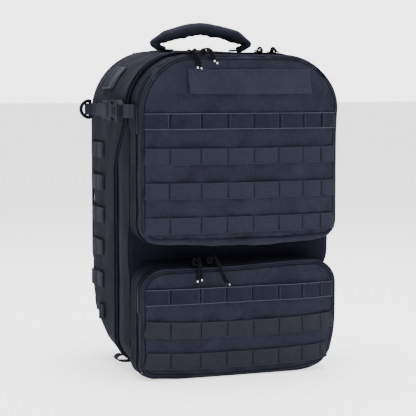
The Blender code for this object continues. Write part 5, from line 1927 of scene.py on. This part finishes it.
def make_studio():
    scene = bpy.context.scene
    camera = bpy.data.cameras.new("camera")
    camera.lens = 129.8
    camera.sensor_width = 36
    eye = bpy.data.objects.new("camera", camera)
    scene.collection.objects.link(eye)
    eye.location = (-0.85255, -2.18765, 0.42973)
    target = Vector((-0.0525, -0.125, 0.2459))
    eye.rotation_mode = "QUATERNION"
    eye.rotation_quaternion = (target - eye.location).to_track_quat("-Z", "Y")
    scene.camera = eye

    world = bpy.data.worlds.new("studio")
    world.use_nodes = True
    light_room(world.node_tree)
    scene.world = world
    for name, place_at, size, power in (
        ("key", (0.8, -2.1, 1.7), 1.3, 27),
        ("front", (0.1, -2.3, 0.35), 1.6, 12),
        ("top", (0.1, 0.2, 2.2), 1.5, 90),
    ):
        lamp = bpy.data.lights.new(name, "AREA")
        lamp.energy = power
        lamp.size = size
        holder = bpy.data.objects.new(name, lamp)
        scene.collection.objects.link(holder)
        holder.location = place_at
        holder.rotation_mode = "QUATERNION"
        holder.rotation_quaternion = (Vector((0, 0, 0.22)) - Vector(place_at)).to_track_quat("-Z", "Y")

    floor_mesh = bpy.data.meshes.new("floor")
    reach = 30.0
    floor_z = -7.0 * MM
    floor_mesh.from_pydata(
        [
            (-reach, -reach, floor_z), (reach, -reach, floor_z), (reach, reach, floor_z),
            (-reach, reach, floor_z)
        ],
        [], [(0, 1, 2, 3)]
    )
    floor = bpy.data.objects.new("floor", floor_mesh)
    scene.collection.objects.link(floor)
    pale = Nodes("floor")
    colour = pale.mix(pale.noise(0.5), (0.95, 0.95, 0.95, 1), (0.96, 0.96, 0.96, 1))
    white = pale.finish(
        colour, pale.spread(pale.noise(0.2), 0.8, 0.9), pale.bump(pale.noise(0.01), 0.00005)
    )
    pale.shader.inputs["Emission Color"].default_value = (1, 1, 1, 1)
    pale.shader.inputs["Emission Strength"].default_value = 1.3
    floor_mesh.materials.append(white)


def main():
    make_studio()
    rear = make_rear_bag()
    rear_tree = surface(rear)
    place(rear, "rear_body", ["rear_shell"])
    lid = make_lid_bag()
    place(lid, "front_lid", ["lid_shell"])
    make_main_zip()
    make_body_piping()
    upper_tree = make_pocket("upper", POCKET_TEMPLATE, UPPER_SIZES, upper_shape, UPPER_FOLD, 41)
    lower_tree = make_pocket("lower", LOW_TEMPLATE, LOWER_SIZES, lower_shape, LOWER_FOLD, 46)
    make_upper_roll()
    make_front_webbing(upper_tree, lower_tree)
    make_id_flap(upper_tree)
    make_zip_hardware()
    make_handle()
    make_side_webbing(rear_tree)
    make_buckles()
    make_rings()
    make_tube_port()
    make_zip_end_loops()
    make_back_pad("back_pad_mesh", "back_pad", (-38 * MM, 38 * MM), (310 * MM, 380 * MM), 4 * MM)
    make_back_pad("lumbar_pad_mesh", "lumbar_pad", (-38 * MM, 38 * MM), (), 4 * MM)
    make_inner_parts()
    make_harness()


main()
